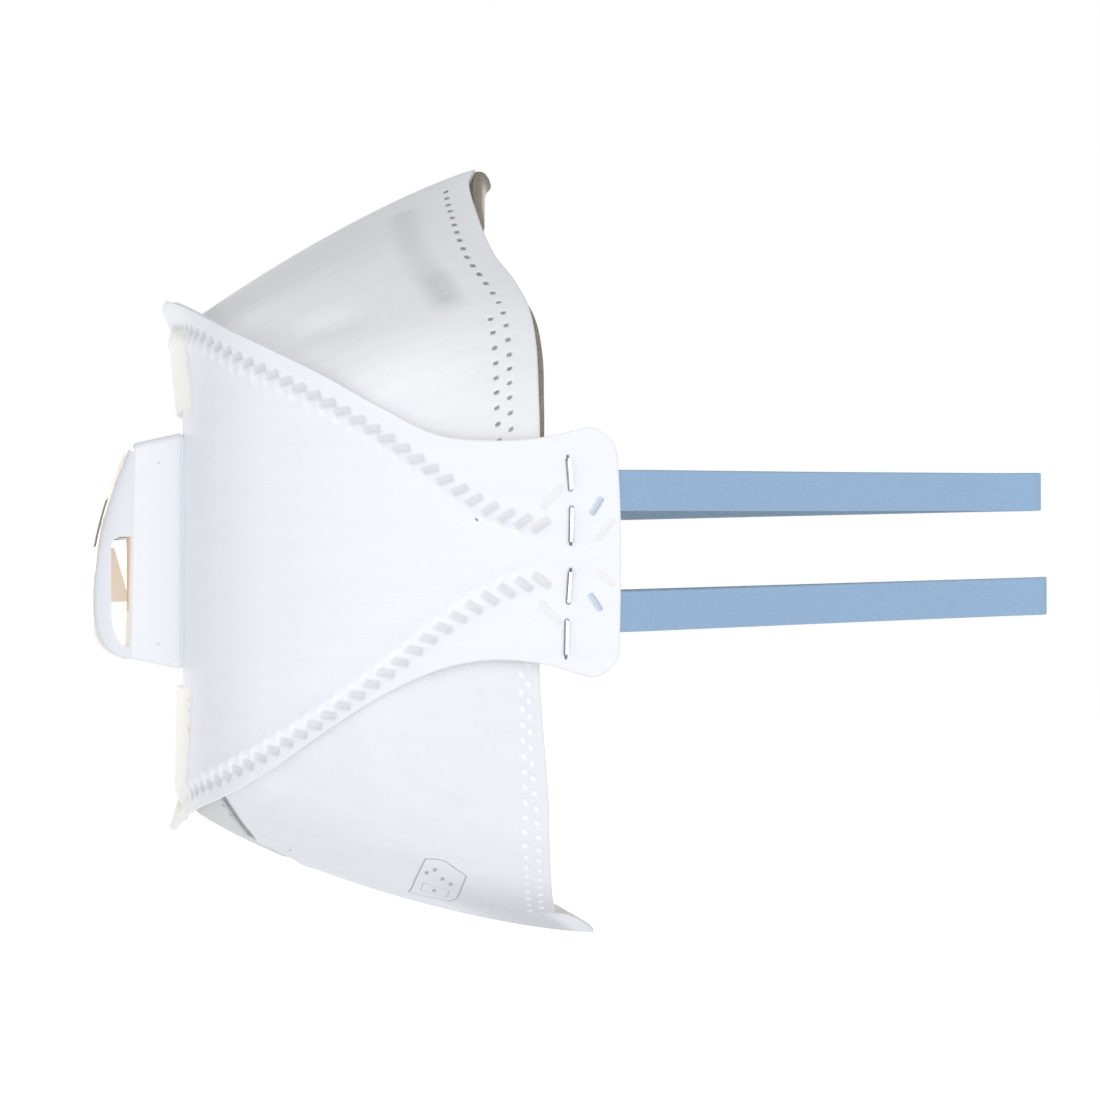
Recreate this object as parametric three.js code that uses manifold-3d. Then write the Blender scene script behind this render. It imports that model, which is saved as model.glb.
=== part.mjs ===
// Fold-flat respirator, opened to the form that it has on a face.
//
// Units are millimetres. +Z is up, -X is the valve at the front, +X the wearer's back, and the
// whole respirator is symmetric about the plane Y = 0. The origin lies in that plane, at the
// middle of the face opening. Three panels make the cup: a centre panel that bends round the
// face in a U and ends in the two strap tabs, an upper panel that runs up to the nose, and a
// lower panel that runs under the chin. Both are welded to the centre panel along a curved line,
// and the centre panel stands proud of that line as a fin.

import * as THREE from 'three';
import { mergeVertices } from 'three/addons/utils/BufferGeometryUtils.js';
import Module from 'manifold-3d';

const wasm = await Module();
wasm.setup();

// ---------------------------------------------------------------- driving dimensions

const GAP = 0.3; // between two pieces that touch

// Centre panel. Its plan is half of a superellipse, seen from above.
const FRONT_X = -62.4; // outer face of the cloth at the valve
const TAB_X = 4.4; // end of the tabs
const HALF_WIDTH = 54; // outer face of a tab from the plane of symmetry
const PLAN_POWER = 2.8; // 2 would be an ellipse; more gives a flatter front
const CENTRE_WALL = 1.4;
const TAB_CORNER = 4.5; // radius of the tab's two corners

// Upper and lower panel.
const PANEL_WALL = 1.2;
const WELD_END = 86; // how far the welds run along the centre panel from the front
const CHIN_TAB_REACH = 6.6; // the pull tab at the chin, behind the face edge
const CHIN_TAB_HALF_WIDTH = 12;
const CHIN_TAB_DROOP = 1.6;

// Nose foam and nose clip, both on the inner face of the upper panel.
const FOAM_SPAN = 0.92; // share of the upper face edge that carries foam
const CLIP_SPAN = 0.5;
const CLIP_SETBACK = 12.7; // clip's centre line from the face edge
const CLIP_WIDTH = 5.2;
const CLIP_THICKNESS = 0.8;

// Exhalation valve.
const BASE_REAR = { x: -62.0, halfWidth: 16.8, halfHeight: 19.0 };
const BASE_FRONT = { x: -70.1, halfWidth: 15.8, halfHeight: 17.3 };
const BASE_SHIFT_Z = -0.4; // the valve sits slightly below the middle of the front
const BASE_CORNER = 4;
const BASE_LIP = 0.6; // chamfer round the base's front face
const PORT = 15; // square way through the cloth and the base
const PORT_RIB = 2;
const FLAP = { halfWidth: 10, halfHeight: 9.5, thickness: 0.6 };
const COVER_HALF_WIDTH = 15.4;
const COVER_WALL = 1.5;
const RECESS = { depth: 1.3, width: 21, height: 8.4, lean: -0.27, x: -74.3, z: 5.2 };
const COVER_RIB_HALF_WIDTH = 3;

// Head straps: flat elastic, standing on edge.
const STRAP_WIDTH = 6.35;
const STRAP_THICKNESS = 1.0;
const STRAP_START_X = -7.0; // inner end, inside the tab
const STRAP_TURN = 2.2; // radius of the turn at the back, to the strap's middle
const UPPER_STRAP = { tabZ: 8.7, backZ: 9.9, backX: 83.4 };
const LOWER_STRAP = { tabZ: -10.1, backZ: -7.6, backX: 84.4 };

// Staples: one through each tab for each strap.
const STAPLE_X = -3.5;
const WIRE = { width: 0.7, thickness: 0.5 };
const LEG_HOLE = 1.3;
const LEG_RISE = 0.35; // a leg's cut end stands off the cloth by this much more

// ---------------------------------------------------------------- tables

// Edges and weld lines of the centre panel, as heights at distances along the cloth
// from the plane of symmetry.
const CENTRE_ROWS = [
  { along: 0, top: 41.0, upperWeld: 36.2, lowerWeld: -42.2, bottom: -45.9 },
  { along: 12, top: 39.9, upperWeld: 35.8, lowerWeld: -41.2, bottom: -44.6 },
  { along: 24, top: 37.6, upperWeld: 34.3, lowerWeld: -38.6, bottom: -42.0 },
  { along: 34, top: 34.6, upperWeld: 31.0, lowerWeld: -36.1, bottom: -39.2 },
  { along: 44, top: 31.0, upperWeld: 27.2, lowerWeld: -32.2, bottom: -34.9 },
  { along: 54, top: 26.6, upperWeld: 22.7, lowerWeld: -26.8, bottom: -28.8 },
  { along: 64, top: 21.2, upperWeld: 17.0, lowerWeld: -19.8, bottom: -22.9 },
  { along: 72, top: 17.3, upperWeld: 11.4, lowerWeld: -13.5, bottom: -19.3 },
  { along: 80, top: 16.3, upperWeld: 6.0, lowerWeld: -8.2, bottom: -17.6 },
  { along: 88, top: 16.7, upperWeld: 3.6, lowerWeld: -5.5, bottom: -18.0 },
  { along: 96.5, top: 18.4, upperWeld: 3.4, lowerWeld: -5.2, bottom: -20.2 },
];

// How far the cloth at the front stands forward of the plan curve, at each height: a crease at
// either weld, a fin that flares past it, a slight swell, and a flat behind the valve.
const FRONT_ROWS = [
  { along: -45.9, forward: 0.2 },
  { along: -44.6, forward: -0.4 },
  { along: -42.2, forward: -1.4 },
  { along: -39.0, forward: -0.6 },
  { along: -30.0, forward: -0.4 },
  { along: -22.5, forward: -0.8 },
  { along: 0, forward: -0.8 },
  { along: 22.5, forward: -0.8 },
  { along: 25.0, forward: 0.3 },
  { along: 33.2, forward: 0.5 },
  { along: 36.2, forward: -1.5 },
  { along: 39.8, forward: 1.6 },
  { along: 41.0, forward: 0.6 },
];
const FRONT_SPREAD = 18; // half width over which that shape dies away

// Face edge of the upper panel, from the nose to the tab.
const UPPER_EDGE = [
  { x: -12.6, y: 0, z: 63.2 },
  { x: -14.0, y: 4.5, z: 60.8 },
  { x: -14.1, y: 10, z: 57.5 },
  { x: -13.8, y: 15, z: 54.6 },
  { x: -13.3, y: 20.5, z: 51.1 },
  { x: -12.0, y: 27, z: 46.6 },
  { x: -9.9, y: 32.5, z: 42.8 },
  { x: -8.1, y: 38.8, z: 37.8 },
  { x: -7.6, y: 44.4, z: 31.6 },
  { x: -7.8, y: 49, z: 24.6 },
  { x: -7.9, y: 51.9, z: 16 },
  { x: -7.9, y: 52.2, z: 6 },
];

// Face edge of the lower panel, from the chin to the tab.
const LOWER_EDGE = [
  { x: 0.6, y: 0, z: -61.4 },
  { x: 0.3, y: 5.5, z: -59.9 },
  { x: -0.6, y: 12, z: -57.6 },
  { x: -1.9, y: 19, z: -55 },
  { x: -3.2, y: 27, z: -51.6 },
  { x: -4.1, y: 33, z: -46.6 },
  { x: -4.8, y: 37.6, z: -40.2 },
  { x: -5.8, y: 42, z: -33.5 },
  { x: -6.8, y: 46.2, z: -27.2 },
  { x: -7.7, y: 50, z: -21.2 },
  { x: -8.0, y: 51.8, z: -15 },
  { x: -7.9, y: 52.2, z: -7.8 },
];

// How far a panel bulges out of the straight line from weld to face edge, by share of the way
// from the plane of symmetry to the tab.
const UPPER_BULGE = [
  { along: 0, out: 2.5 },
  { along: 0.2, out: 3.3 },
  { along: 0.4, out: 4.0 },
  { along: 0.6, out: 3.0 },
  { along: 0.8, out: 1.0 },
  { along: 1, out: 0 },
];
const LOWER_BULGE = [
  { along: 0, out: 4.3 },
  { along: 0.2, out: 4.4 },
  { along: 0.4, out: 4.0 },
  { along: 0.6, out: 2.6 },
  { along: 0.8, out: 0.9 },
  { along: 1, out: 0 },
];

// Nose foam, by share of the way from the nose to its end: its width on the cloth, how far it
// stands out past the cloth's edge, and its depth.
const FOAM_ROWS = [
  { along: 0, border: 8, proud: 2.4, depth: 2.8 },
  { along: 0.12, border: 8, proud: 2.2, depth: 2.8 },
  { along: 0.28, border: 7.5, proud: 0.2, depth: 2.6 },
  { along: 0.6, border: 6, proud: 0, depth: 2.0 },
  { along: 1, border: 4, proud: 0.9, depth: 1.3 },
];

// Front of the valve cover, from its top corner down: a long shallow slope, then a round foot.
const COVER_FRONT = [
  { x: -70.5, z: 15.8 },
  { x: -73.2, z: 8.8 },
  { x: -75.2, z: 1.2 },
  { x: -76.4, z: -7.8 },
  { x: -75.6, z: -13.6 },
  { x: -73.6, z: -16.5 },
  { x: -71.0, z: -17.8 },
];

// The cover's side edge: how far in from the side each ring lies, and by what share its depth
// is less than at the middle.
const COVER_EDGE = [
  { inset: 0, flattening: 0.13 },
  { inset: 0.3, flattening: 0.05 },
  { inset: 1.0, flattening: 0 },
];

// Side window of the cover: a round top corner, a straight front and a slanted foot. It is
// open to the rear, where the base closes it.
const WINDOW = [
  { x: -69.4, z: 1.9 },
  { x: -71.2, z: 1.9 },
  { x: -72.6, z: 0.9 },
  { x: -73.0, z: -3.5 },
  { x: -73.0, z: -11.5 },
  { x: -72.4, z: -13.9 },
  { x: -71.2, z: -15.8 },
  { x: -69.4, z: -15.9 },
];

// The wedge that holds the flap down, inside the cover.
const COVER_RIB = [
  { x: -74.9, z: 0.4 },
  { x: -72.7, z: 0.0 },
  { x: -71.4, z: -6.8 },
  { x: -71.4, z: -8.6 },
  { x: -75.6, z: -8.6 },
];

// A head strap in plan, from a tab to where the turn at the back begins.
const STRAP_PLAN = [
  { x: 8, y: 50.0 },
  { x: 16, y: 44 },
  { x: 40, y: 26 },
  { x: 62, y: 12 },
];

// Height of each staple's middle, its outer width, and how far each leg is bent in.
const STAPLES = [
  { name: 'upper', z: 7.05, crown: 12.7, leg: 4.9 },
  { name: 'lower', z: -10.35, crown: 13.1, leg: 5.1 },
];

// ---------------------------------------------------------------- helpers

const mix = (a, b, t) => a + (b - a) * t;
const clamp = (value, low, high) => Math.min(high, Math.max(low, value));

/** The rows' columns at a distance along them, on a smooth curve through the rows. */
function follow(rows, along) {
  const last = rows.length - 1;
  let i = 0;
  while (i < last - 1 && along > rows[i + 1].along) i += 1;
  const span = rows[i + 1].along - rows[i].along;
  const t = clamp((along - rows[i].along) / span, 0, 1);
  const slope = (k, column) => {
    const before = rows[Math.max(0, k - 1)];
    const after = rows[Math.min(last, k + 1)];
    return (after[column] - before[column]) / (after.along - before.along);
  };
  const found = {};
  for (const column of Object.keys(rows[0])) {
    const a = rows[i][column];
    const b = rows[i + 1][column];
    const sa = slope(i, column) * span;
    const sb = slope(i + 1, column) * span;
    const bend = sa * (t - 2 * t * t + t ** 3) + sb * (t ** 3 - t * t);
    found[column] = a * (1 - 3 * t * t + 2 * t ** 3) + b * (3 * t * t - 2 * t ** 3) + bend;
  }
  return found;
}

/** The rows' one column between straight lines, for a table with a sharp crease. */
function between(rows, along, column) {
  let i = 0;
  while (i < rows.length - 2 && along > rows[i + 1].along) i += 1;
  const t = (along - rows[i].along) / (rows[i + 1].along - rows[i].along);
  return mix(rows[i][column], rows[i + 1][column], clamp(t, 0, 1));
}

function geometryOf(points, triangles) {
  const geometry = new THREE.BufferGeometry();
  const flat = points.flatMap((p) => [p.x, p.y, p.z]);
  geometry.setAttribute('position', new THREE.Float32BufferAttribute(flat, 3));
  geometry.setIndex(triangles);
  return geometry;
}

function signedVolume(points, triangles) {
  let volume = 0;
  for (let i = 0; i < triangles.length; i += 3) {
    const [a, b, c] = [0, 1, 2].map((k) => points[triangles[i + k]]);
    volume += a.dot(b.clone().cross(c)) / 6;
  }
  return volume;
}

/** A closed wall between two grids of points of the same size, face to face. */
function wallBetween(outer, inner) {
  const columns = outer.length;
  const rows = outer[0].length;
  const points = [...outer.flat(), ...inner.flat()];
  const out = (i, j) => i * rows + j;
  const back = (i, j) => columns * rows + i * rows + j;
  const triangles = [];
  const quad = (a, b, c, d) => triangles.push(a, b, c, a, c, d);
  for (let i = 0; i < columns - 1; i += 1) {
    for (let j = 0; j < rows - 1; j += 1) {
      quad(out(i, j), out(i + 1, j), out(i + 1, j + 1), out(i, j + 1));
      quad(back(i, j), back(i, j + 1), back(i + 1, j + 1), back(i + 1, j));
    }
    quad(out(i, 0), back(i, 0), back(i + 1, 0), out(i + 1, 0));
    quad(out(i, rows - 1), out(i + 1, rows - 1), back(i + 1, rows - 1), back(i, rows - 1));
  }
  for (let j = 0; j < rows - 1; j += 1) {
    const end = columns - 1;
    quad(out(0, j), out(0, j + 1), back(0, j + 1), back(0, j));
    quad(out(end, j), back(end, j), back(end, j + 1), out(end, j + 1));
  }
  if (signedVolume(points, triangles) < 0) triangles.reverse();
  return geometryOf(points, triangles);
}

function solidOf(geometry) {
  const bare = geometry.clone();
  bare.deleteAttribute('normal');
  bare.deleteAttribute('uv');
  const merged = mergeVertices(bare);
  return new wasm.Manifold(
    new wasm.Mesh({
      numProp: 3,
      vertProperties: new Float32Array(merged.attributes.position.array),
      triVerts: new Uint32Array(merged.index.array),
    }),
  );
}

function geometryFrom(solid) {
  const mesh = solid.getMesh();
  const geometry = new THREE.BufferGeometry();
  geometry.setAttribute('position', new THREE.BufferAttribute(mesh.vertProperties, 3));
  geometry.setIndex(new THREE.BufferAttribute(mesh.triVerts, 1));
  return geometry;
}

/** Cuts each tool out of a body. */
const cut = (body, tools) =>
  geometryFrom(tools.reduce((rest, tool) => rest.subtract(solidOf(tool)), solidOf(body)));

const box = (x, y, z, centre) =>
  new THREE.BoxGeometry(x, y, z).translate(centre.x, centre.y, centre.z);

/** An outline in X and Z, pushed out to both sides of the plane of symmetry. */
function acrossY(shape, halfWidth) {
  const geometry = new THREE.ExtrudeGeometry(shape, { depth: 2 * halfWidth, bevelEnabled: false });
  return geometry.rotateX(Math.PI / 2).translate(0, halfWidth, 0);
}

function shapeOf(points) {
  return new THREE.Shape(points.map((p) => new THREE.Vector2(p.x, p.z)));
}

// ---------------------------------------------------------------- centre panel

const PLAN_DEPTH = TAB_X - FRONT_X;

/** Plan of the centre panel's outer face by distance along the cloth, on the +Y side. */
const plan = (() => {
  const steps = 2000;
  const turn = (k) => (k / steps) * (Math.PI / 2);
  const place = (k) =>
    new THREE.Vector2(
      TAB_X - PLAN_DEPTH * Math.cos(turn(k)) ** (2 / PLAN_POWER),
      HALF_WIDTH * Math.sin(turn(k)) ** (2 / PLAN_POWER),
    );
  const points = Array.from({ length: steps + 1 }, (_, k) => place(k));
  const along = [0];
  for (let k = 1; k <= steps; k += 1) {
    along.push(along[k - 1] + points[k].distanceTo(points[k - 1]));
  }
  const total = along[steps];
  const at = (distance) => {
    const wanted = clamp(Math.abs(distance), 0, total);
    let low = 0;
    let high = steps;
    while (high - low > 1) {
      const middle = (low + high) >> 1;
      if (along[middle] > wanted) high = middle;
      else low = middle;
    }
    const t = (wanted - along[low]) / (along[high] - along[low]);
    const side = distance < 0 ? -1 : 1;
    const p = points[low].clone().lerp(points[high], t);
    return { x: p.x, y: side * p.y };
  };
  /** Direction out of the cup, square to the cloth. */
  const outward = (distance) => {
    const step = 0.4;
    const a = at(clamp(distance - step, -total, total));
    const b = at(clamp(distance + step, -total, total));
    return new THREE.Vector3(a.y - b.y, b.x - a.x, 0).normalize();
  };
  return { total, at, outward };
})();

function frontShift(y, z) {
  return between(FRONT_ROWS, z, 'forward') * Math.exp(-((y / FRONT_SPREAD) ** 2));
}

/** A point of the centre panel, a given depth inside its outer face. */
function centrePoint(along, z, depth) {
  const p = plan.at(along);
  const out = plan.outward(along);
  return new THREE.Vector3(
    p.x - out.x * depth - frontShift(p.y, z),
    p.y - out.y * depth,
    z,
  );
}

/** Height lost at a tab's corner. */
function cornerDrop(along) {
  const into = Math.max(0, Math.abs(along) - (plan.total - TAB_CORNER)) / TAB_CORNER;
  return TAB_CORNER * (1 - Math.sqrt(Math.max(0, 1 - into * into)));
}

function centreLevels(along) {
  const row = follow(CENTRE_ROWS, Math.abs(along));
  const top = row.top - cornerDrop(along);
  const bottom = row.bottom + cornerDrop(along);
  const upper = Math.min(row.upperWeld, top);
  const lower = Math.max(row.lowerWeld, bottom);
  const crease = Math.min(3, (upper - lower) / 4); // the crease beside a weld has rows of its own
  const low = lower + crease;
  const high = upper - crease;
  const inside = [0, 0.24, 0.45, 0.65, 0.85, 1].map((share) => mix(low, high, share));
  return [bottom, mix(bottom, lower, 0.4), lower, ...inside, upper, mix(upper, top, 0.75), top];
}

function centreColumns() {
  const straight = plan.total - TAB_CORNER;
  const count = 48;
  const corner = [0.35, 0.65, 0.87, 1].map((share) => straight + share * TAB_CORNER);
  const middle = Array.from({ length: count + 1 }, (_, k) => mix(-straight, straight, k / count));
  return [...corner.map((s) => -s).reverse(), ...middle, ...corner];
}

function centrePanel() {
  const grid = (depth) =>
    centreColumns().map((s) => centreLevels(s).map((z) => centrePoint(s, z, depth)));
  const through = 6 * CENTRE_WALL;
  const holes = [box(through, PORT, PORT, { x: FRONT_X, y: 0, z: BASE_SHIFT_Z })];
  for (const side of [-1, 1]) {
    const y = side * (HALF_WIDTH - CENTRE_WALL / 2);
    for (const staple of STAPLES) {
      for (const end of [-1, 1]) {
        const z = staple.z + (end * staple.crown) / 2;
        holes.push(box(LEG_HOLE, through, LEG_HOLE, { x: STAPLE_X, y, z }));
      }
    }
  }
  return cut(wallBetween(grid(0), grid(CENTRE_WALL)), holes);
}

// ---------------------------------------------------------------- upper and lower panel

/** A closed way through a half's edge points and their mirror images. */
function mirroredCurve(half) {
  const far = half.map((p) => new THREE.Vector3(p.x, p.y, p.z));
  const near = half.slice(1).map((p) => new THREE.Vector3(p.x, -p.y, p.z));
  return new THREE.CatmullRomCurve3([...near.reverse(), ...far], false, 'centripetal');
}

const UPPER = { weld: 'upperWeld', edge: mirroredCurve(UPPER_EDGE), bulge: UPPER_BULGE };
const LOWER = { weld: 'lowerWeld', edge: mirroredCurve(LOWER_EDGE), bulge: LOWER_BULGE };

/** Rises from the weld, is fullest just before half way, and ends at the face edge. */
function swell(v) {
  const peak = 0.344;
  return (Math.max(0, v) ** 0.7 * Math.max(0, 1 - v) ** 0.85) / peak;
}

/** Moves a point in, if need be, so that it stays clear of the centre panel's inner face. */
function keepInside(point) {
  const set = CENTRE_WALL + GAP;
  const share = clamp((TAB_X - point.x) / (PLAN_DEPTH - set), 0, 1);
  const limit = (HALF_WIDTH - set) * (1 - share ** PLAN_POWER) ** (1 / PLAN_POWER);
  point.y = clamp(point.y, -limit, limit);
  return point;
}

/** The pull tab of the lower panel: an oval tongue that droops a little. */
function chinTab(panel, edge) {
  if (panel !== LOWER) return edge;
  const share = Math.sqrt(Math.max(0, 1 - (edge.y / CHIN_TAB_HALF_WIDTH) ** 2));
  const x = edge.x + share * CHIN_TAB_REACH;
  return new THREE.Vector3(x, edge.y, edge.z - share * CHIN_TAB_DROOP);
}

/** A point of a panel's outer face: u from tab to tab is -1 to 1, v from weld to edge 0 to 1. */
function panelPoint(panel, u, v) {
  const along = u * WELD_END;
  const height = follow(CENTRE_ROWS, Math.abs(along))[panel.weld];
  const weld = centrePoint(along, height, CENTRE_WALL + GAP);
  const edge = chinTab(panel, panel.edge.getPointAt((u + 1) / 2));
  const point = weld.clone().lerp(edge, v);
  const radial = new THREE.Vector3(0, point.y, point.z).normalize();
  point.addScaledVector(radial, follow(panel.bulge, Math.abs(u)).out * swell(v));
  return keepInside(point);
}

/** Direction out of the cup at a point of a panel. */
function panelOutward(panel, u, v) {
  const step = 0.01;
  const across = panelPoint(panel, clamp(u + step, -1, 1), v);
  across.sub(panelPoint(panel, clamp(u - step, -1, 1), v));
  const down = panelPoint(panel, u, v + step).sub(panelPoint(panel, u, Math.max(0, v - step)));
  const normal = across.cross(down).normalize();
  const here = panelPoint(panel, u, v);
  return normal.y * here.y + normal.z * here.z < 0 ? normal.negate() : normal;
}

const underPanel = (panel, u, v, depth) =>
  panelPoint(panel, u, v).addScaledVector(panelOutward(panel, u, v), -depth);

function panelWall(panel) {
  const columns = 60;
  const shares = [0, 0.06, 0.16, 0.3, 0.46, 0.64, 0.82, 1];
  const grid = (depth) =>
    Array.from({ length: columns + 1 }, (_, k) => {
      const u = mix(-1, 1, k / columns);
      return shares.map((v) => underPanel(panel, u, v, depth));
    });
  return wallBetween(grid(0), grid(PANEL_WALL));
}

// ---------------------------------------------------------------- nose foam and clip

/** Share v of a place that lies a distance before (-) or past (+) the face edge. */
function shareAt(panel, u, distance) {
  const length = panelPoint(panel, u, 0).distanceTo(panelPoint(panel, u, 1));
  return 1 + distance / length;
}

/** A strip inside the upper panel; from, to and depth change along it. */
function noseStrip(span, columns, shares, section) {
  const seat = PANEL_WALL + 1.2 * GAP; // the cloth is faceted, so the gap has a little to spare
  const grid = (outer) =>
    Array.from({ length: columns + 1 }, (_, k) => {
      const u = mix(-span, span, k / columns);
      const { from, to, depth } = section(Math.abs(u) / span);
      return shares.map((share) => {
        const v = shareAt(UPPER, u, mix(from, to, share));
        const fullness = 0.5 + 0.5 * Math.sin(Math.PI * share) ** 0.6;
        return underPanel(UPPER, u, v, outer ? seat : seat + depth(fullness));
      });
    });
  return wallBetween(grid(true), grid(false));
}

function noseFoam() {
  return noseStrip(FOAM_SPAN, 44, [0, 0.2, 0.5, 0.8, 1], (t) => {
    const row = follow(FOAM_ROWS, t);
    return { from: -row.border, to: row.proud, depth: (fullness) => row.depth * fullness };
  });
}

function noseClip() {
  return noseStrip(CLIP_SPAN, 30, [0, 1], () => ({
    from: -CLIP_SETBACK - CLIP_WIDTH / 2,
    to: -CLIP_SETBACK + CLIP_WIDTH / 2,
    depth: () => CLIP_THICKNESS,
  }));
}

// ---------------------------------------------------------------- valve

/** A rectangle with round corners in Y and Z, as a ring of points at one x. */
function roundedRing({ x, halfWidth, halfHeight }) {
  const steps = 4;
  const ring = [];
  for (let quarter = 0; quarter < 4; quarter += 1) {
    const middle = ((quarter + 0.5) * Math.PI) / 2;
    const centreY = Math.sign(Math.cos(middle)) * (halfWidth - BASE_CORNER);
    const centreZ = Math.sign(Math.sin(middle)) * (halfHeight - BASE_CORNER) + BASE_SHIFT_Z;
    for (let k = 0; k <= steps; k += 1) {
      const turn = ((quarter + k / steps) * Math.PI) / 2;
      const y = centreY + BASE_CORNER * Math.cos(turn);
      const z = centreZ + BASE_CORNER * Math.sin(turn);
      ring.push(new THREE.Vector3(x, y, z));
    }
  }
  return ring;
}

/** A closed body through rings of the same number of points, with flat ends. */
function loft(rings) {
  const count = rings[0].length;
  const points = rings.flat();
  const triangles = [];
  for (let r = 0; r < rings.length - 1; r += 1) {
    for (let k = 0; k < count; k += 1) {
      const a = r * count + k;
      const b = r * count + ((k + 1) % count);
      triangles.push(a, b, b + count, a, b + count, a + count);
    }
  }
  const lastRing = (rings.length - 1) * count;
  for (let k = 1; k < count - 1; k += 1) {
    triangles.push(0, k + 1, k, lastRing, lastRing + k, lastRing + k + 1);
  }
  if (signedVolume(points, triangles) < 0) triangles.reverse();
  return geometryOf(points, triangles);
}

/** Tapered box with a cross of ribs over its port. */
function valveBase() {
  const lip = {
    x: BASE_FRONT.x + BASE_LIP,
    halfWidth: BASE_FRONT.halfWidth + BASE_LIP,
    halfHeight: BASE_FRONT.halfHeight + BASE_LIP,
  };
  const body = loft([BASE_REAR, lip, BASE_FRONT].map(roundedRing));
  const pane = (PORT - PORT_RIB) / 2;
  const offset = (pane + PORT_RIB) / 2;
  const through = 3 * (BASE_REAR.x - BASE_FRONT.x);
  const panes = [];
  for (const sideY of [-1, 1]) {
    for (const sideZ of [-1, 1]) {
      const centre = { x: BASE_REAR.x, y: sideY * offset, z: BASE_SHIFT_Z + sideZ * offset };
      panes.push(box(through, pane, pane, centre));
    }
  }
  return cut(body, panes);
}

const COVER_REAR = BASE_FRONT.x - GAP;

function valveFlap() {
  const rear = { ...FLAP, x: COVER_REAR };
  const front = { ...FLAP, x: COVER_REAR - FLAP.thickness };
  return loft([rear, front].map(roundedRing));
}

/** The cover's side view: straight at the rear, along the front curve from top to foot. */
function coverOutline(inset, rear) {
  const curve = new THREE.CatmullRomCurve3(
    COVER_FRONT.map((p) => new THREE.Vector3(p.x + inset, 0, p.z)),
  );
  const top = COVER_FRONT[0].z - inset;
  const foot = COVER_FRONT[COVER_FRONT.length - 1].z + inset;
  const inReach = (p) => p.z <= top && p.z >= foot && p.x < COVER_REAR;
  const front = curve.getPoints(24).filter(inReach);
  const first = front[0].clone().setX(rear);
  const last = front[front.length - 1].clone().setX(rear);
  return [first, ...front, last];
}

/** The cover's outline at y, made flatter by a share of its depth. */
function coverRing(y, flattening) {
  return coverOutline(0, COVER_REAR).map((p) => {
    const depth = COVER_REAR - p.x;
    return new THREE.Vector3(COVER_REAR - depth * (1 - flattening), y, p.z);
  });
}

/** The cover: one curved band from top to foot, with a window in either side. */
function valveCover() {
  const left = COVER_EDGE.map((e) => coverRing(e.inset - COVER_HALF_WIDTH, e.flattening));
  const right = COVER_EDGE.map((e) => coverRing(COVER_HALF_WIDTH - e.inset, e.flattening));
  const outer = loft([...left, ...right.reverse()]);
  const behind = COVER_REAR + COVER_WALL;
  const inside = shapeOf(coverOutline(COVER_WALL, behind));
  const hollow = acrossY(inside, COVER_HALF_WIDTH - COVER_WALL);
  const windows = acrossY(shapeOf(WINDOW), COVER_HALF_WIDTH + COVER_WALL);
  const recess = new THREE.BoxGeometry(RECESS.depth, RECESS.width, RECESS.height);
  recess.rotateY(RECESS.lean).translate(RECESS.x, 0, RECESS.z);
  const shell = cut(outer, [hollow, windows, recess]);
  const rib = acrossY(shapeOf(COVER_RIB), COVER_RIB_HALF_WIDTH);
  return geometryFrom(solidOf(shell).add(solidOf(rib)));
}

// ---------------------------------------------------------------- straps and staples

const STRAP_Y = HALF_WIDTH - CENTRE_WALL - GAP - STRAP_THICKNESS / 2;

/** Middle line of a strap in plan: along one tab, back to the turn, and to the other tab. */
function strapRoute({ tabZ, backZ, backX }) {
  const turnX = backX - STRAP_THICKNESS / 2 - STRAP_TURN;
  const half = [
    { x: STRAP_START_X, y: STRAP_Y },
    { x: STRAP_START_X / 2, y: STRAP_Y },
    { x: TAB_X - STRAP_THICKNESS, y: STRAP_Y },
    ...STRAP_PLAN,
    { x: turnX - 3 * STRAP_TURN, y: 2 * STRAP_TURN },
    { x: turnX, y: STRAP_TURN },
    { x: turnX + Math.SQRT1_2 * STRAP_TURN, y: Math.SQRT1_2 * STRAP_TURN },
  ];
  const run = backX - TAB_X;
  const lift = (x) => mix(tabZ, backZ, clamp((x - TAB_X) / run, 0, 1));
  const near = half.map((p) => new THREE.Vector3(p.x, -p.y, lift(p.x)));
  const back = new THREE.Vector3(backX - STRAP_THICKNESS / 2, 0, backZ);
  const far = half.map((p) => new THREE.Vector3(p.x, p.y, lift(p.x))).reverse();
  return new THREE.CatmullRomCurve3([...near, back, ...far], false, 'centripetal');
}

function headStrap(strap) {
  const route = strapRoute(strap);
  const steps = 90;
  const side = (offset) =>
    Array.from({ length: steps + 1 }, (_, k) => {
      const t = k / steps;
      const p = route.getPointAt(t);
      const ahead = route.getTangentAt(t);
      const across = new THREE.Vector3(-ahead.y, ahead.x, 0).normalize();
      p.addScaledVector(across, (offset * STRAP_THICKNESS) / 2);
      return [-1, 1].map((end) => p.clone().setZ(p.z + (end * STRAP_WIDTH) / 2));
    });
  return wallBetween(side(-1), side(1));
}

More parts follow.
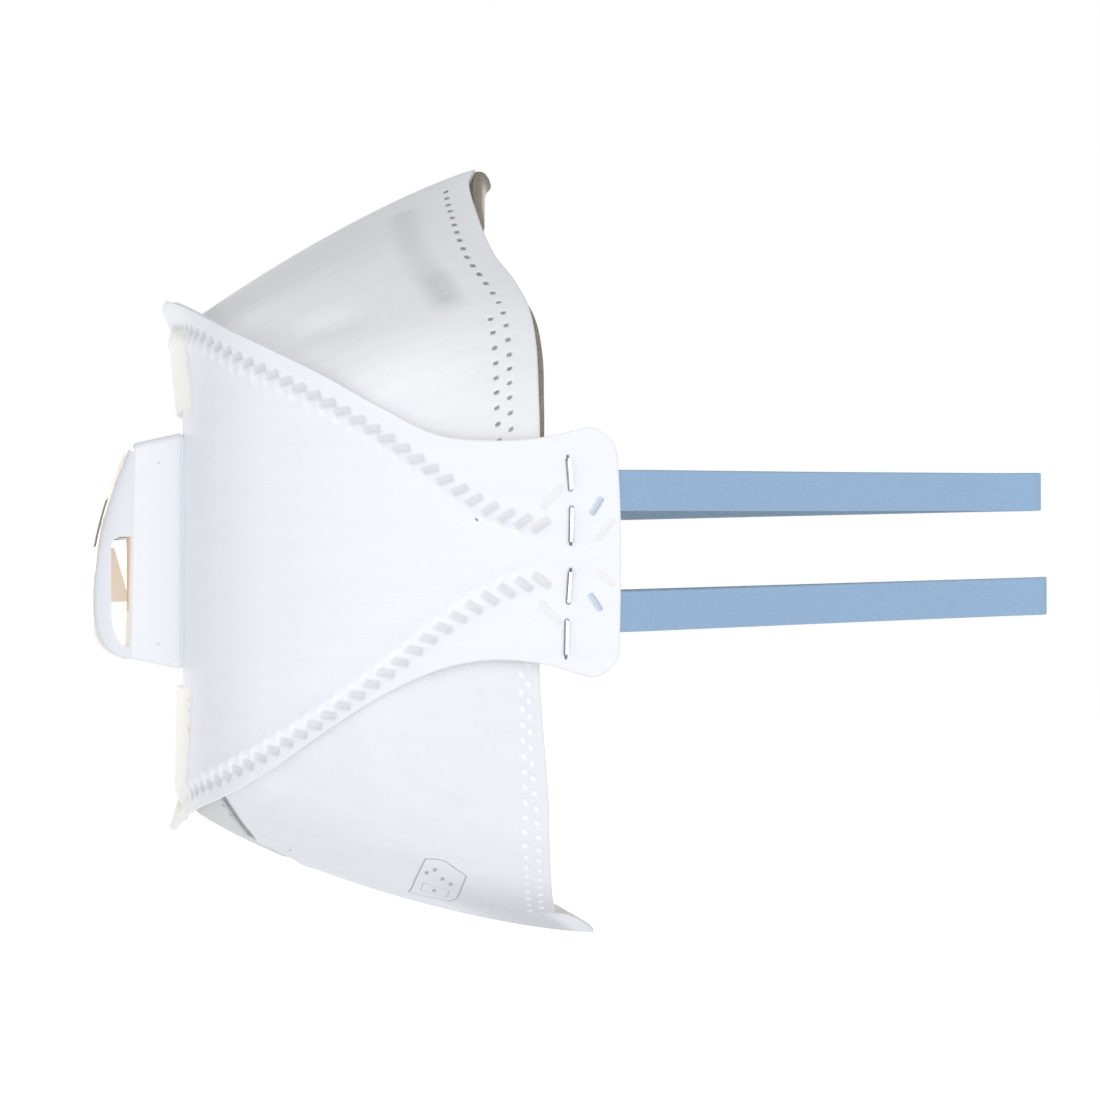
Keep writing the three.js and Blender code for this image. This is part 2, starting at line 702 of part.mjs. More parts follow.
/** A wire staple: its back lies over the strap inside the tab, its legs are bent in outside. */
function staple({ z, crown, leg }, side) {
  const back = -(CENTRE_WALL + GAP + STRAP_THICKNESS + GAP);
  const face = GAP;
  const wide = WIRE.thickness;
  const half = crown / 2;
  const right = [
    { along: half, out: back - wide },
    { along: half, out: face + wide / 2 },
    { along: half - wide / 2, out: face + wide },
    { along: half - leg, out: face + wide + LEG_RISE },
    { along: half - leg, out: face + LEG_RISE },
    { along: half - wide, out: face },
    { along: half - wide, out: back },
  ];
  const left = right.map((p) => ({ along: -p.along, out: p.out })).reverse();
  const shape = new THREE.Shape([...right, ...left].map((p) => new THREE.Vector2(p.along, p.out)));
  const wire = new THREE.ExtrudeGeometry(shape, { depth: WIRE.width, bevelEnabled: false });
  // The outline's height becomes Z and its depth becomes the way out of the cup.
  const turned = new THREE.Matrix4().makeBasis(
    new THREE.Vector3(0, 0, 1),
    new THREE.Vector3(0, 1, 0),
    new THREE.Vector3(-1, 0, 0),
  );
  wire.applyMatrix4(turned).translate(STAPLE_X + WIRE.width / 2, HALF_WIDTH, z);
  if (side < 0) wire.rotateZ(Math.PI).translate(2 * STAPLE_X, 0, 0);
  return wire;
}

// ---------------------------------------------------------------- materials and assembly

const finish = (color, roughness, metalness = 0) =>
  new THREE.MeshStandardMaterial({ color, roughness, metalness });

const MATERIALS = {
  cloth: () => finish(0xeef1f6, 0.9),
  foam: () => finish(0x8b8178, 0.95),
  aluminium: () => finish(0xb9bec4, 0.4, 1),
  plastic: () => finish(0xf3f6fb, 0.4),
  silicone: () => finish(0xe6d8c6, 0.5),
  elastic: () => finish(0x92aecb, 0.7),
  steel: () => finish(0xc9ccd0, 0.25, 1),
};

const respirator = new THREE.Group();

function add(name, geometry, material) {
  const mesh = new THREE.Mesh(geometry, MATERIALS[material]());
  mesh.name = name;
  respirator.add(mesh);
}

add('centre_panel', centrePanel(), 'cloth');
add('upper_panel', panelWall(UPPER), 'cloth');
add('lower_panel', panelWall(LOWER), 'cloth');
add('nose_foam', noseFoam(), 'foam');
add('nose_clip', noseClip(), 'aluminium');
add('valve_base', valveBase(), 'plastic');
add('valve_flap', valveFlap(), 'silicone');
add('valve_cover', valveCover(), 'plastic');
add('upper_head_strap', headStrap(UPPER_STRAP), 'elastic');
add('lower_head_strap', headStrap(LOWER_STRAP), 'elastic');
for (const size of STAPLES) {
  add(`${size.name}_left_staple`, staple(size, -1), 'steel');
  add(`${size.name}_right_staple`, staple(size, 1), 'steel');
}

export default respirator;
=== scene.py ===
# %% [markdown]
# # A fold-flat respirator, finished round its measured frame
# The solids of the respirator are already made and packed as a fixed frame. This lesson gives them
# their looks: three welded panels of nonwoven, a strip of foam at the nose, a moulded valve, two
# elastic head straps and the staples that hold them. The frame is loaded first, because every new
# piece is placed from it. Lengths are worked out in millimetres and turned to metres at the end.

# %% Load the frame
import math

import bpy
import numpy as np
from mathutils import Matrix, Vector


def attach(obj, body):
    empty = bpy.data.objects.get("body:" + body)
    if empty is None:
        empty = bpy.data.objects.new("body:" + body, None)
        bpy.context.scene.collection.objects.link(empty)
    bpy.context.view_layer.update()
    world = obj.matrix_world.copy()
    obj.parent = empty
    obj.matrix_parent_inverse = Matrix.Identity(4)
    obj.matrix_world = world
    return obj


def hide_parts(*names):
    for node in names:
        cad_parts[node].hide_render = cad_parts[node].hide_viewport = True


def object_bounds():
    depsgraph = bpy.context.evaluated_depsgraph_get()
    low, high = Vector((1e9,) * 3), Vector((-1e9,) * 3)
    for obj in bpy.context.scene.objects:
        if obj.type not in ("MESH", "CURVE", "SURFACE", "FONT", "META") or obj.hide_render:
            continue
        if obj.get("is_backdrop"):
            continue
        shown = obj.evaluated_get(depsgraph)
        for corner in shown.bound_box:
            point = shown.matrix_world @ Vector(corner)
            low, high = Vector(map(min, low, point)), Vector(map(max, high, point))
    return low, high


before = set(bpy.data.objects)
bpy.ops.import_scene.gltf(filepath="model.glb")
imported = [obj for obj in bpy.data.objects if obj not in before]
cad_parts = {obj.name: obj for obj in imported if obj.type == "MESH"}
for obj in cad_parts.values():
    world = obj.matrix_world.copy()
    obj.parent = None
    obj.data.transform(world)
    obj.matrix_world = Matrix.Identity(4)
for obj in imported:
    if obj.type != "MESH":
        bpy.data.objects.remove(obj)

MM = 0.001
cad_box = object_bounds()
print("CAD nodes:", ", ".join(sorted(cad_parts)))

# %% [markdown]
# ## Camera, floor and light
# The respirator is seen from its left side, almost square on, with the valve at the left. The camera
# is turned 7 degrees towards the valve and looks up by little more than half a degree, so that the
# front of the valve and the strip of cloth round it are seen at a grazing angle. A long lens keeps
# the far half of the straps nearly behind the near half.

# %% Camera
CAMERA_TURN = math.radians(7.0)
CAMERA_TILT = math.radians(0.6)
CAMERA_DISTANCE = 0.725
LENS = 142.6
scene = bpy.context.scene
camera = bpy.data.objects.new("side_camera", bpy.data.cameras.new("side_camera"))
camera.data.lens = LENS
camera.data.sensor_width = 36
level_distance = CAMERA_DISTANCE * math.cos(CAMERA_TILT)
camera.location = (
    -level_distance * math.sin(CAMERA_TURN),
    -level_distance * math.cos(CAMERA_TURN),
    -CAMERA_DISTANCE * math.sin(CAMERA_TILT),
)
camera.rotation_euler = (math.pi / 2 + CAMERA_TILT, 0, -CAMERA_TURN)
scene.collection.objects.link(camera)
scene.camera = camera
print("camera at", [round(c, 4) for c in camera.location])

# %% [markdown]
# White cloth on a white ground is a matter of light more than of colour. The world gives an even
# fill from all round, a broad key comes from above the camera, and a faint warm light from the
# front of the respirator grazes the cloth round the valve. The world itself shows as plain white.
# The floor is a wide pale sheet below the respirator, which hangs in the air as it does when worn.

# %% Helpers for nodes and colours
def linear(code, alpha=1.0):
    """The linear colour of an sRGB hex code."""
    parts = [int(code[i : i + 2], 16) / 255 for i in (1, 3, 5)]
    return (*[p / 12.92 if p <= 0.04045 else ((p + 0.055) / 1.055) ** 2.4 for p in parts], alpha)


def add_node(tree, kind, inputs=None, **settings):
    """Adds a node. Each input is a value, or the output of another node to link to it."""
    made = tree.nodes.new("ShaderNode" + kind)
    for name, value in settings.items():
        setattr(made, name, value)
    for key, value in (inputs or {}).items():
        if isinstance(value, bpy.types.NodeSocket):
            tree.links.new(value, made.inputs[key])
        else:
            made.inputs[key].default_value = value
    return made

# %% World
FILL_ABOVE = 0.48
FILL_BELOW = 0.90
FILL_TINT = "#FDFEFF"

scene.view_settings.view_transform = "Standard"
scene.world = bpy.data.worlds.new("white_studio")
scene.world.use_nodes = True
sky = scene.world.node_tree
sky.nodes.clear()
sight = add_node(sky, "TexCoord").outputs["Generated"]
level = add_node(sky, "SeparateXYZ", {"Vector": sight}).outputs["Z"]
amount = add_node(
    sky,
    "MapRange",
    {"Value": level, "From Min": -0.5, "From Max": 0.5, "To Min": FILL_BELOW, "To Max": FILL_ABOVE},
    interpolation_type="SMOOTHSTEP",
).outputs["Result"]
fill = add_node(sky, "Background", {"Color": linear(FILL_TINT), "Strength": amount}).outputs[0]
white = add_node(sky, "Background", {"Color": linear("#FFFFFF"), "Strength": 1.0}).outputs[0]
seen = add_node(sky, "LightPath").outputs["Is Camera Ray"]
either = add_node(sky, "MixShader", {0: seen, 1: fill, 2: white}).outputs[0]
add_node(sky, "OutputWorld", {"Surface": either})

# %% Lamps
LAMPS = {
    # name: (strength, softness in degrees, colour, direction that the light goes)
    "key": (1.54, 60, "#FFFFFF", (-0.3, 0.94, -0.12)),
    "front_fill": (0.38, 60, "#F6F8FF", (1.0, 0.35, -0.05)),
    "front_glow": (1.25, 12, "#FFEEDA", (1.0, -2.3, -0.05)),
}
for name, (strength, softness, code, direction) in LAMPS.items():
    lamp = bpy.data.lights.new(name, "SUN")
    lamp.energy = strength
    lamp.angle = math.radians(softness)
    lamp.color = linear(code)[:3]
    lamp_object = bpy.data.objects.new(name, lamp)
    lamp_object.rotation_euler = Vector(direction).to_track_quat("-Z", "Y").to_euler()
    scene.collection.objects.link(lamp_object)
print("lamps:", ", ".join(LAMPS))

# %% Floor
FLOOR_Z = -0.20
FLOOR_SIZE = 12
FLOOR_GLOW = 0.55


def select_only(*objects):
    """Deselects everything, then selects these and makes the first one active."""
    if bpy.context.object and bpy.context.object.mode != "OBJECT":
        bpy.ops.object.mode_set(mode="OBJECT")
    bpy.ops.object.select_all(action="DESELECT")
    for o in objects:
        o.select_set(True)
    if objects:
        bpy.context.view_layer.objects.active = objects[0]


def principled(name, **inputs):
    """A new material whose principled shader has these inputs, and its tree."""
    material = bpy.data.materials.new(name)
    material.use_nodes = True
    tree = material.node_tree
    for key, value in inputs.items():
        tree.nodes["Principled BSDF"].inputs[key.replace("_", " ")].default_value = value
    return material, tree


select_only()
bpy.ops.mesh.primitive_plane_add(size=FLOOR_SIZE, location=(0, 0, FLOOR_Z))
floor = bpy.context.object
floor.name = "floor"
# Painted studio floor: matt, and as pale as paint gets, so that it runs into the white beyond it.
paint, _ = principled(
    "white_studio_paint",
    Base_Color=linear("#F7F7F7"),
    Roughness=0.9,
    Emission_Color=linear("#FFFFFF"),
    Emission_Strength=FLOOR_GLOW,
)
floor.data.materials.append(paint)
floor.visible_diffuse = False  # its glow shows, and leaves the light on the cloth as it is
floor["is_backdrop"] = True
print("floor:", FLOOR_SIZE, "m across")

# %% [markdown]
# ## The cloth's shape in numbers
# A fold-flat respirator is cut flat and welded, so each panel bends one way more than the other.
# The centre panel stands upright and bends round the face in a U, whose plan is half of a
# superellipse. Its welds and edges are heights along that U. The upper and the lower panel span
# from a weld to the face edge. The tables and formulas are those of the solids, so that the cloth
# lies where the frame says, and the panels can be worked out as finely as their details need.

# %% Heights along the centre panel
def table(columns, *rows):
    """Rows of numbers as one array for each named column."""
    return {name: np.array(values, float) for name, values in zip(columns.split(), zip(*rows))}


CENTRE_ROWS = table(
    "along top upper_weld lower_weld bottom",
    (0, 41.0, 36.2, -42.2, -45.9),
    (5, 40.7, 36.1, -42.0, -45.4),
    (12, 39.9, 35.8, -41.2, -43.7),
    (24, 37.6, 34.3, -38.6, -41.3),
    (34, 34.6, 31.0, -36.1, -39.0),
    (44, 31.0, 27.2, -32.2, -34.9),
    (54, 26.6, 22.7, -26.8, -28.8),
    (64, 21.2, 17.0, -19.8, -22.9),
    (72, 17.3, 11.4, -13.5, -19.3),
    (80, 16.3, 6.0, -8.2, -17.6),
    (88, 16.7, 3.4, -5.3, -18.0),
    (96.5, 18.4, 3.4, -5.2, -20.2),
)
# How far the cloth at the front stands forward of the U, by height.
FRONT_ROWS = table(
    "along forward",
    (-45.9, 0.5),
    (-44.3, -0.3),
    (-41.8, -1.3),
    (-40.0, -1.1),
    (-36.7, -0.7),
    (-30.0, -0.9),
    (-22.8, -1.25),
    (-22.4, -1.6),
    (22.2, -1.6),
    (22.6, -1.0),
    (28.6, -0.1),
    (33.4, 0.35),
    (34.4, 0.35),
    (35.6, 0.65),
    (37.0, 0.9),
    (39.8, 2.0),
    (41.0, 1.3),
)
print("centre panel:", len(CENTRE_ROWS["along"]), "rows from the front to the tab")

# %% Face edges and bulges of the outer panels
UPPER_EDGE = [
    (-12.6, 0, 63.2),
    (-14.0, 4.5, 60.8),
    (-14.1, 10, 57.5),
    (-13.8, 15, 54.6),
    (-13.3, 20.5, 51.1),
    (-12.0, 27, 46.6),
    (-9.9, 32.5, 42.8),
    (-8.1, 38.8, 37.8),
    (-7.6, 44.4, 31.6),
    (-7.8, 49, 24.6),
    (-7.9, 51.9, 16),
    (-7.9, 52.2, 6),
]
LOWER_EDGE = [
    (0.6, 0, -60.8),
    (0.2, 5.5, -60.3),
    (-0.6, 12, -59.4),
    (-1.9, 19, -56.2),
    (-3.2, 27, -51.6),
    (-4.1, 33, -46.6),
    (-4.8, 37.6, -40.2),
    (-5.8, 42, -33.5),
    (-6.8, 46.2, -27.2),
    (-7.7, 50, -21.2),
    (-8.0, 51.8, -15),
    (-7.9, 52.2, -7.8),
]
UPPER_BULGE = table("along out", (0, 2.2), (0.2, 3.3), (0.4, 4.0), (0.6, 3.0), (0.8, 1.0), (1, 0))
LOWER_BULGE = table("along out", (0, 4.3), (0.2, 4.4), (0.4, 4.0), (0.6, 2.6), (0.8, 0.9), (1, 0))
print("the face opening is", UPPER_EDGE[0][2] - LOWER_EDGE[0][2], "mm high")

# %% Curves through tables and points
def follow(rows, column, along):
    """A column of a table at distances along it, on a smooth curve through its rows."""
    x, y = rows["along"], rows[column]
    last = len(x) - 1
    k = np.arange(last + 1)
    before, after = np.maximum(k - 1, 0), np.minimum(k + 1, last)
    slope = (y[after] - y[before]) / (x[after] - x[before])
    i = np.clip(np.searchsorted(x, along) - 1, 0, last - 1)
    span = x[i + 1] - x[i]
    t = np.clip((along - x[i]) / span, 0, 1)
    level = y[i] * (1 - 3 * t**2 + 2 * t**3) + y[i + 1] * (3 * t**2 - 2 * t**3)
    return level + span * (slope[i] * (t - 2 * t**2 + t**3) + slope[i + 1] * (t**3 - t**2))


def smooth_route(points, steps=40):
    """A smooth curve through points, with so many steps from each to the next."""
    points = np.array(points, float)
    ends = np.vstack([2 * points[0] - points[1], points, 2 * points[-1] - points[-2]])
    t = np.linspace(0, 1, steps, endpoint=False)[:, None]
    spans = []
    for a, b, c, d in zip(ends, ends[1:], ends[2:], ends[3:]):
        ab, bc, cd = (np.linalg.norm(v) ** 0.5 for v in (b - a, c - b, d - c))
        leave = ((b - a) / ab - (c - a) / (ab + bc) + (c - b) / bc) * bc
        reach = ((c - b) / bc - (d - b) / (bc + cd) + (d - c) / cd) * bc
        spans.append(
            (2 * t**3 - 3 * t**2 + 1) * b
            + (t**3 - 2 * t**2 + t) * leave
            + (3 * t**2 - 2 * t**3) * c
            + (t**3 - t**2) * reach
        )
    return np.vstack([*spans, points[-1:]])

# %% Distances and smooth steps
def lengths_along(route):
    """Distance from a route's start to each of its points."""
    steps = np.linalg.norm(np.diff(route, axis=0), axis=1)
    return np.concatenate([[0], np.cumsum(steps)])


def point_along(route, distance):
    """The points of a route at distances from its start."""
    measured = lengths_along(route)
    return np.stack([np.interp(distance, measured, route[:, k]) for k in range(3)], axis=-1)


def mirrored(half):
    """A half's points from the far end of the -Y side to that of the +Y side."""
    half = np.array(half, float)
    return np.vstack([half[:0:-1] * (1, -1, 1), half])


def steps_between(low, high, value):
    """0 below low, 1 above high, and a smooth rise between."""
    t = np.clip((value - low) / (high - low), 0, 1)
    return t * t * (3 - 2 * t)


def bell(distance, width, power=2):
    """1 on a line, and a smooth fall to nothing some widths away from it."""
    return np.exp(-(np.abs(distance / width) ** power))

# %% Plan of the centre panel
FRONT_X = -62.4
TAB_X = 4.4
HALF_WIDTH = 54
PLAN_POWER = 2.8
FRONT_SPREAD = 18
VALVE_SPREAD = 18  # the valve presses the cloth flat, with a crease beside it
VALVE_OFFSET = 4.5  # and a little more on the right than on the left
VALVE_CREASE = 6  # power of the fall, so that the crease is sharp
STRIP_EDGE = (22.3, 22.7)  # height at which the flat front turns into the welded strips
CENTRE_WALL = 1.4
GAP = 0.3
TAB_CORNER = 4.5

turns = np.linspace(0, math.pi / 2, 4001)
PLAN = np.stack(
    [
        TAB_X - (TAB_X - FRONT_X) * np.clip(np.cos(turns), 0, 1) ** (2 / PLAN_POWER),
        HALF_WIDTH * np.sin(turns) ** (2 / PLAN_POWER),
        0 * turns,
    ],
    axis=1,
)
PLAN_LENGTH = lengths_along(PLAN)[-1]


def plan_at(along):
    """x and y of the centre panel's outer face, by distance along the cloth from the front."""
    found = point_along(PLAN, np.clip(np.abs(along), 0, PLAN_LENGTH))
    return found[..., 0], np.sign(along) * found[..., 1]


def plan_outward(along):
    """Direction out of the cup, square to the cloth of the centre panel."""
    step = 0.4
    ax, ay = plan_at(np.clip(along - step, -PLAN_LENGTH, PLAN_LENGTH))
    bx, by = plan_at(np.clip(along + step, -PLAN_LENGTH, PLAN_LENGTH))
    size = np.hypot(bx - ax, by - ay)
    return (ay - by) / size, (bx - ax) / size


def centre_point(along, z, depth):
    """A point of the centre panel, a depth inside its outer face."""
    x, y = plan_at(along)
    out_x, out_y = plan_outward(along)
    forward = np.interp(z, FRONT_ROWS["along"], FRONT_ROWS["forward"])
    strips = steps_between(*STRIP_EDGE, np.abs(z))
    shape = bell(y - VALVE_OFFSET, VALVE_SPREAD, VALVE_CREASE) * (1 - strips)
    shift = forward * (shape + bell(y, FRONT_SPREAD) * strips)
    return np.stack([x - out_x * depth - shift, y - out_y * depth, z], axis=-1)


print("the centre panel is", round(2 * PLAN_LENGTH, 1), "mm long when flat")

# %% [markdown]
# A panel's outer face is a straight line from its weld to its face edge, pushed out by a bulge that
# is fullest near the middle. The lower panel also runs out into an oval pull tab at the chin.

# %% Upper and lower panel
WELD_END = 86
WELD_DEPTH = CENTRE_WALL + GAP
CHIN_TAB_REACH = 6.6
CHIN_TAB_HALF_WIDTH = 12
CHIN_TAB_DROOP = 2.7
BULGE_FALL = 0.85
UPPER, LOWER = [
    {"weld": weld, "edge": smooth_route(mirrored(edge)), "bulge": bulge, "rise": rise}
    for weld, edge, bulge, rise in (
        ("upper_weld", UPPER_EDGE, UPPER_BULGE, 1.0),
        ("lower_weld", LOWER_EDGE, LOWER_BULGE, 0.7),
    )
]


def chin_tab(edge):
    """Draws the edge of the lower panel out into its pull tab."""
    share = np.sqrt(np.clip(1 - (edge[..., 1] / CHIN_TAB_HALF_WIDTH) ** 2, 0, 1))
    reach = np.stack([CHIN_TAB_REACH * share, 0 * share, -CHIN_TAB_DROOP * share**2], axis=-1)
    return edge + reach


def keep_inside(points):
    """Moves points in, if need be, so that they stay clear of the centre panel's inner face."""
    share = np.clip((TAB_X - points[..., 0]) / (TAB_X - FRONT_X - WELD_DEPTH), 0, 1)
    limit = (HALF_WIDTH - WELD_DEPTH) * (1 - share**PLAN_POWER) ** (1 / PLAN_POWER)
    points[..., 1] = np.clip(points[..., 1], -limit, limit)
    return points


def panel_ends(panel, u):
    """A panel's weld point and face edge point, for u from -1 at one tab to 1 at the other."""
    along = u * WELD_END
    height = follow(CENTRE_ROWS, panel["weld"], np.abs(along))
    weld = centre_point(along, height, WELD_DEPTH)
    edge = point_along(panel["edge"], (u + 1) / 2 * lengths_along(panel["edge"])[-1])
    return weld, chin_tab(edge) if panel is LOWER else edge

# %% Surface of an outer panel
def panel_point(panel, u, v):
    """A point of a panel's outer face, for v from 0 at the weld to 1 at the face edge."""
    weld, edge = panel_ends(panel, u)
    points = weld + (edge - weld) * v[..., None]
    radial = points * (0, 1, 1)
    radial /= np.linalg.norm(radial, axis=-1, keepdims=True)
    rise, fall = panel["rise"], BULGE_FALL
    fullest = rise / (rise + fall)
    swell = np.maximum(v, 0) ** rise * np.maximum(1 - v, 0) ** fall
    swell = swell / (fullest**rise * (1 - fullest) ** fall)
    out = follow(panel["bulge"], "out", np.abs(u)) * swell
    return keep_inside(points + radial * out[..., None])


def grid_normals(points):
    """Directions square to a grid of points, out of the cup."""
    across = np.gradient(points, axis=0)
    down = np.gradient(points, axis=1)
    normals = np.cross(across, down)
    normals /= np.maximum(np.linalg.norm(normals, axis=-1, keepdims=True), 1e-12)
    centre = points.mean(axis=(0, 1)) * (1, 0, 0)
    outward = np.sum(normals * (points - centre), axis=-1).sum()
    return normals if outward > 0 else -normals

# %% [markdown]
# ## Cloth from a grid
# Each panel starts as Blender's own flat grid. Its points are moved to the places that the
# functions give, its map is set to the cloth's real distances, and Solidify gives it its wall,
# thin at the welded rims and full between them. Weld marks, needle dots and bars are pressed into
# the cloth. Each kind is described once, as a distance in millimetres to the nearest mark, which is
# below zero inside it. The same distance presses the dents into the mesh and, kept as an attribute
# of the points, colours them in the material, so that dent and colour always agree.

# %% Helpers for marks
def rounded_bar(across, up, half_length, half_width, corner, tilt):
    """Distance to a bar with round corners, whose length is tilted up by an angle."""
    along = np.abs(across * np.cos(tilt) + up * np.sin(tilt)) - half_length + corner
    beside = np.abs(up * np.cos(tilt) - across * np.sin(tilt)) - half_width + corner
    outside = np.hypot(np.maximum(along, 0), np.maximum(beside, 0))
    return outside + np.minimum(np.maximum(along, beside), 0) - corner


def nearest(shape, position, first, pitch, last):
    """Least distance to marks that are repeated from first to last along a line."""
    most = round((last - first) / pitch)
    count = np.clip(np.rint((position - first) / pitch), 0, most)
    return np.minimum.reduce([shape(first + np.clip(count + k, 0, most) * pitch) for k in (-1, 0, 1)])


def path_distance(path, along, across):
    """Distance to a line through points of the flat cloth."""
    found = []
    for (x1, y1), (x2, y2) in zip(path, path[1:]):
        run = np.array([x2 - x1, y2 - y1], float)
        share = np.clip(((along - x1) * run[0] + (across - y1) * run[1]) / (run @ run), 0, 1)
        found.append(np.hypot(along - x1 - share * run[0], across - y1 - share * run[1]))
    return np.minimum.reduce(found)

# %% Helper that makes a sheet
def make_sheet(name, points, thickness, maps, marks, wall, materials):
    """Cloth through a grid of points in millimetres, with its thickness at each of them. maps are
    its flat distances, marks are attributes, and wall is the full thickness of the cloth."""
    columns, rows = points.shape[0] - 1, points.shape[1] - 1
    select_only()
    bpy.ops.mesh.primitive_grid_add(x_subdivisions=columns, y_subdivisions=rows, size=1)
    sheet = bpy.context.object
    sheet.name = name
    mesh = sheet.data
    flat = np.zeros(3 * len(mesh.vertices))
    mesh.vertices.foreach_get("co", flat)
    flat = flat.reshape(-1, 3)
    i = np.rint((flat[:, 0] + 0.5) * columns).astype(int)
    j = np.rint((flat[:, 1] + 0.5) * rows).astype(int)
    mesh.vertices.foreach_set("co", (points[i, j] * MM).ravel())
    corners = np.zeros(len(mesh.loops), int)
    mesh.loops.foreach_get("vertex_index", corners)
    flat_map = np.stack(maps, axis=-1)[i, j][corners] * MM
    mesh.uv_layers[0].name = "cloth"
    mesh.uv_layers["cloth"].uv.foreach_set("vector", flat_map.astype(np.float32).ravel())
    for mark, distance in marks.items():
        attribute = mesh.attributes.new(mark, "FLOAT", "POINT")
        attribute.data.foreach_set("value", distance[i, j].astype(np.float32))
    group = sheet.vertex_groups.new(name="wall")
    share = np.round(np.broadcast_to(thickness, points.shape[:2])[i, j] / wall, 2)
    for value in np.unique(share):
        group.add(np.flatnonzero(share == value).tolist(), float(value), "REPLACE")
    for material in materials:
        mesh.materials.append(material)
    mesh.update()
    return sheet


def give_wall(sheet, wall, axes):
    """Turns the faces away from the middle, along some axes, and thickens the sheet inwards."""
    mesh = sheet.data
    normals, centres = np.zeros((2, 3 * len(mesh.polygons)))
    mesh.polygons.foreach_get("normal", normals)
    mesh.polygons.foreach_get("center", centres)
    if normals @ (centres.reshape(-1, 3) * axes).ravel() < 0:
        mesh.flip_normals()
    select_only(sheet)
    solid = sheet.modifiers.new("wall", "SOLIDIFY")
    solid.thickness = wall * MM
    solid.offset = -1
    solid.vertex_group = "wall"
    solid.material_offset = 1
    bpy.ops.object.modifier_apply(modifier="wall")
    bpy.ops.object.shade_smooth_by_angle(angle=math.radians(50))
    print(sheet.name, "has", len(sheet.data.polygons), "faces")


def settle(piece, node):
    """Puts a finished piece in the place of a node, on the only body."""
    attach(piece, "root")
    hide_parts(node)

# %% [markdown]
# ## Nonwoven cloth
# The shell is spunbond polypropylene: endless thin fibres laid mostly one way and pinned to each
# other by a fine grid of hot points. It is matt and white, with soft streaks along the fibres and
# a faint grid of dimples. Where it is welded, the fibres melt together, the cloth turns to a thin
# film and the grey layers under it show through. The pattern is drawn in the cloth's own map, so
# it follows each panel. Real fibres are about 0.02 mm thick, which is too fine to show, so they are
# drawn as streaks 0.25 mm apart.

# %% Helpers for finishes
FIBRE_STREAK = 0.25  # drawn wider than real fibres, which would not show
CLOUD = 2.5  # patches where the fibres lie denser
DIMPLE_PITCH = 0.9  # between the hot points that pin the fibres
PRINT_SOFT = 0.08  # half the width of a printed edge's blur
SHADE = (0.93, 0.935, 0.945, 1)  # what a streak keeps of the cloth's own colour


def layered(tree, base, *layers):
    """Lays colours over a base, each by a share: a Mix node's sockets 6 and 7 are its colours."""
    base, *colours = [linear(c) if isinstance(c, str) else c for c in (base, *[c for _, c in layers])]
    for (share, _), colour in zip(layers, colours):
        base = add_node(tree, "Mix", {0: share, 6: base, 7: colour}, data_type="RGBA").outputs[2]
    return base


def coat(material, colour, relief=None, depth=0.0, strength=1.0):
    """Gives a material's shader a colour, and a relief that is so many millimetres deep."""
    tree = material.node_tree
    shader = tree.nodes["Principled BSDF"]
    tree.links.new(colour, shader.inputs["Base Color"])
    if relief:
        bump = add_node(tree, "Bump", {"Height": relief, "Distance": depth * MM, "Strength": strength})
        tree.links.new(bump.outputs[0], shader.inputs["Normal"])
    return material


def stain_and_shade(tree, base, distance, edges, soft, amounts, code):
    """Lays a colour over a base where a distance is under the first edge and past the second."""
    mask = None
    for edge in edges:
        ends = {"From Min": edge - soft, "From Max": edge + soft, "To Min": 1.0, "To Max": 0.0}
        inside = add_node(
            tree, "MapRange", {"Value": distance, **ends}, interpolation_type="SMOOTHSTEP"
        ).outputs["Result"]
        if mask:
            inside = add_node(tree, "Math", {0: mask, 1: inside}, operation="SUBTRACT").outputs[0]
        mask = inside
    for amount in amounts:
        mask = add_node(tree, "Math", {0: mask, 1: amount}, operation="MULTIPLY").outputs[0]
    return layered(tree, base, (mask, code))

# %% Helper for lines printed on the cloth
def nearest_line(tree, place, lines):
    """Least distance in metres from straight lines on the flat cloth, given in millimetres."""
    least = None
    for (x1, y1), (x2, y2) in lines:
        middle = ((x1 + x2) / 2 * MM, (y1 + y2) / 2 * MM, 0)
        half = math.hypot(x2 - x1, y2 - y1) / 2 * MM
        found = add_node(
            tree,
            "Mapping",
            {"Vector": place, "Location": middle, "Rotation": (0, 0, math.atan2(y2 - y1, x2 - x1))},
            vector_type="TEXTURE",
        ).outputs[0]
        for step, value in (("ABSOLUTE", 0), ("SUBTRACT", half), ("MAXIMUM", 0)):
            found = add_node(tree, "VectorMath", {0: found, 1: (value, 0, 0)}, operation=step).outputs[0]
        found = add_node(tree, "VectorMath", {0: found}, operation="LENGTH").outputs[1]
        if least is not None:
            found = add_node(tree, "Math", {0: least, 1: found}, operation="MINIMUM").outputs[0]
        least = found
    return least

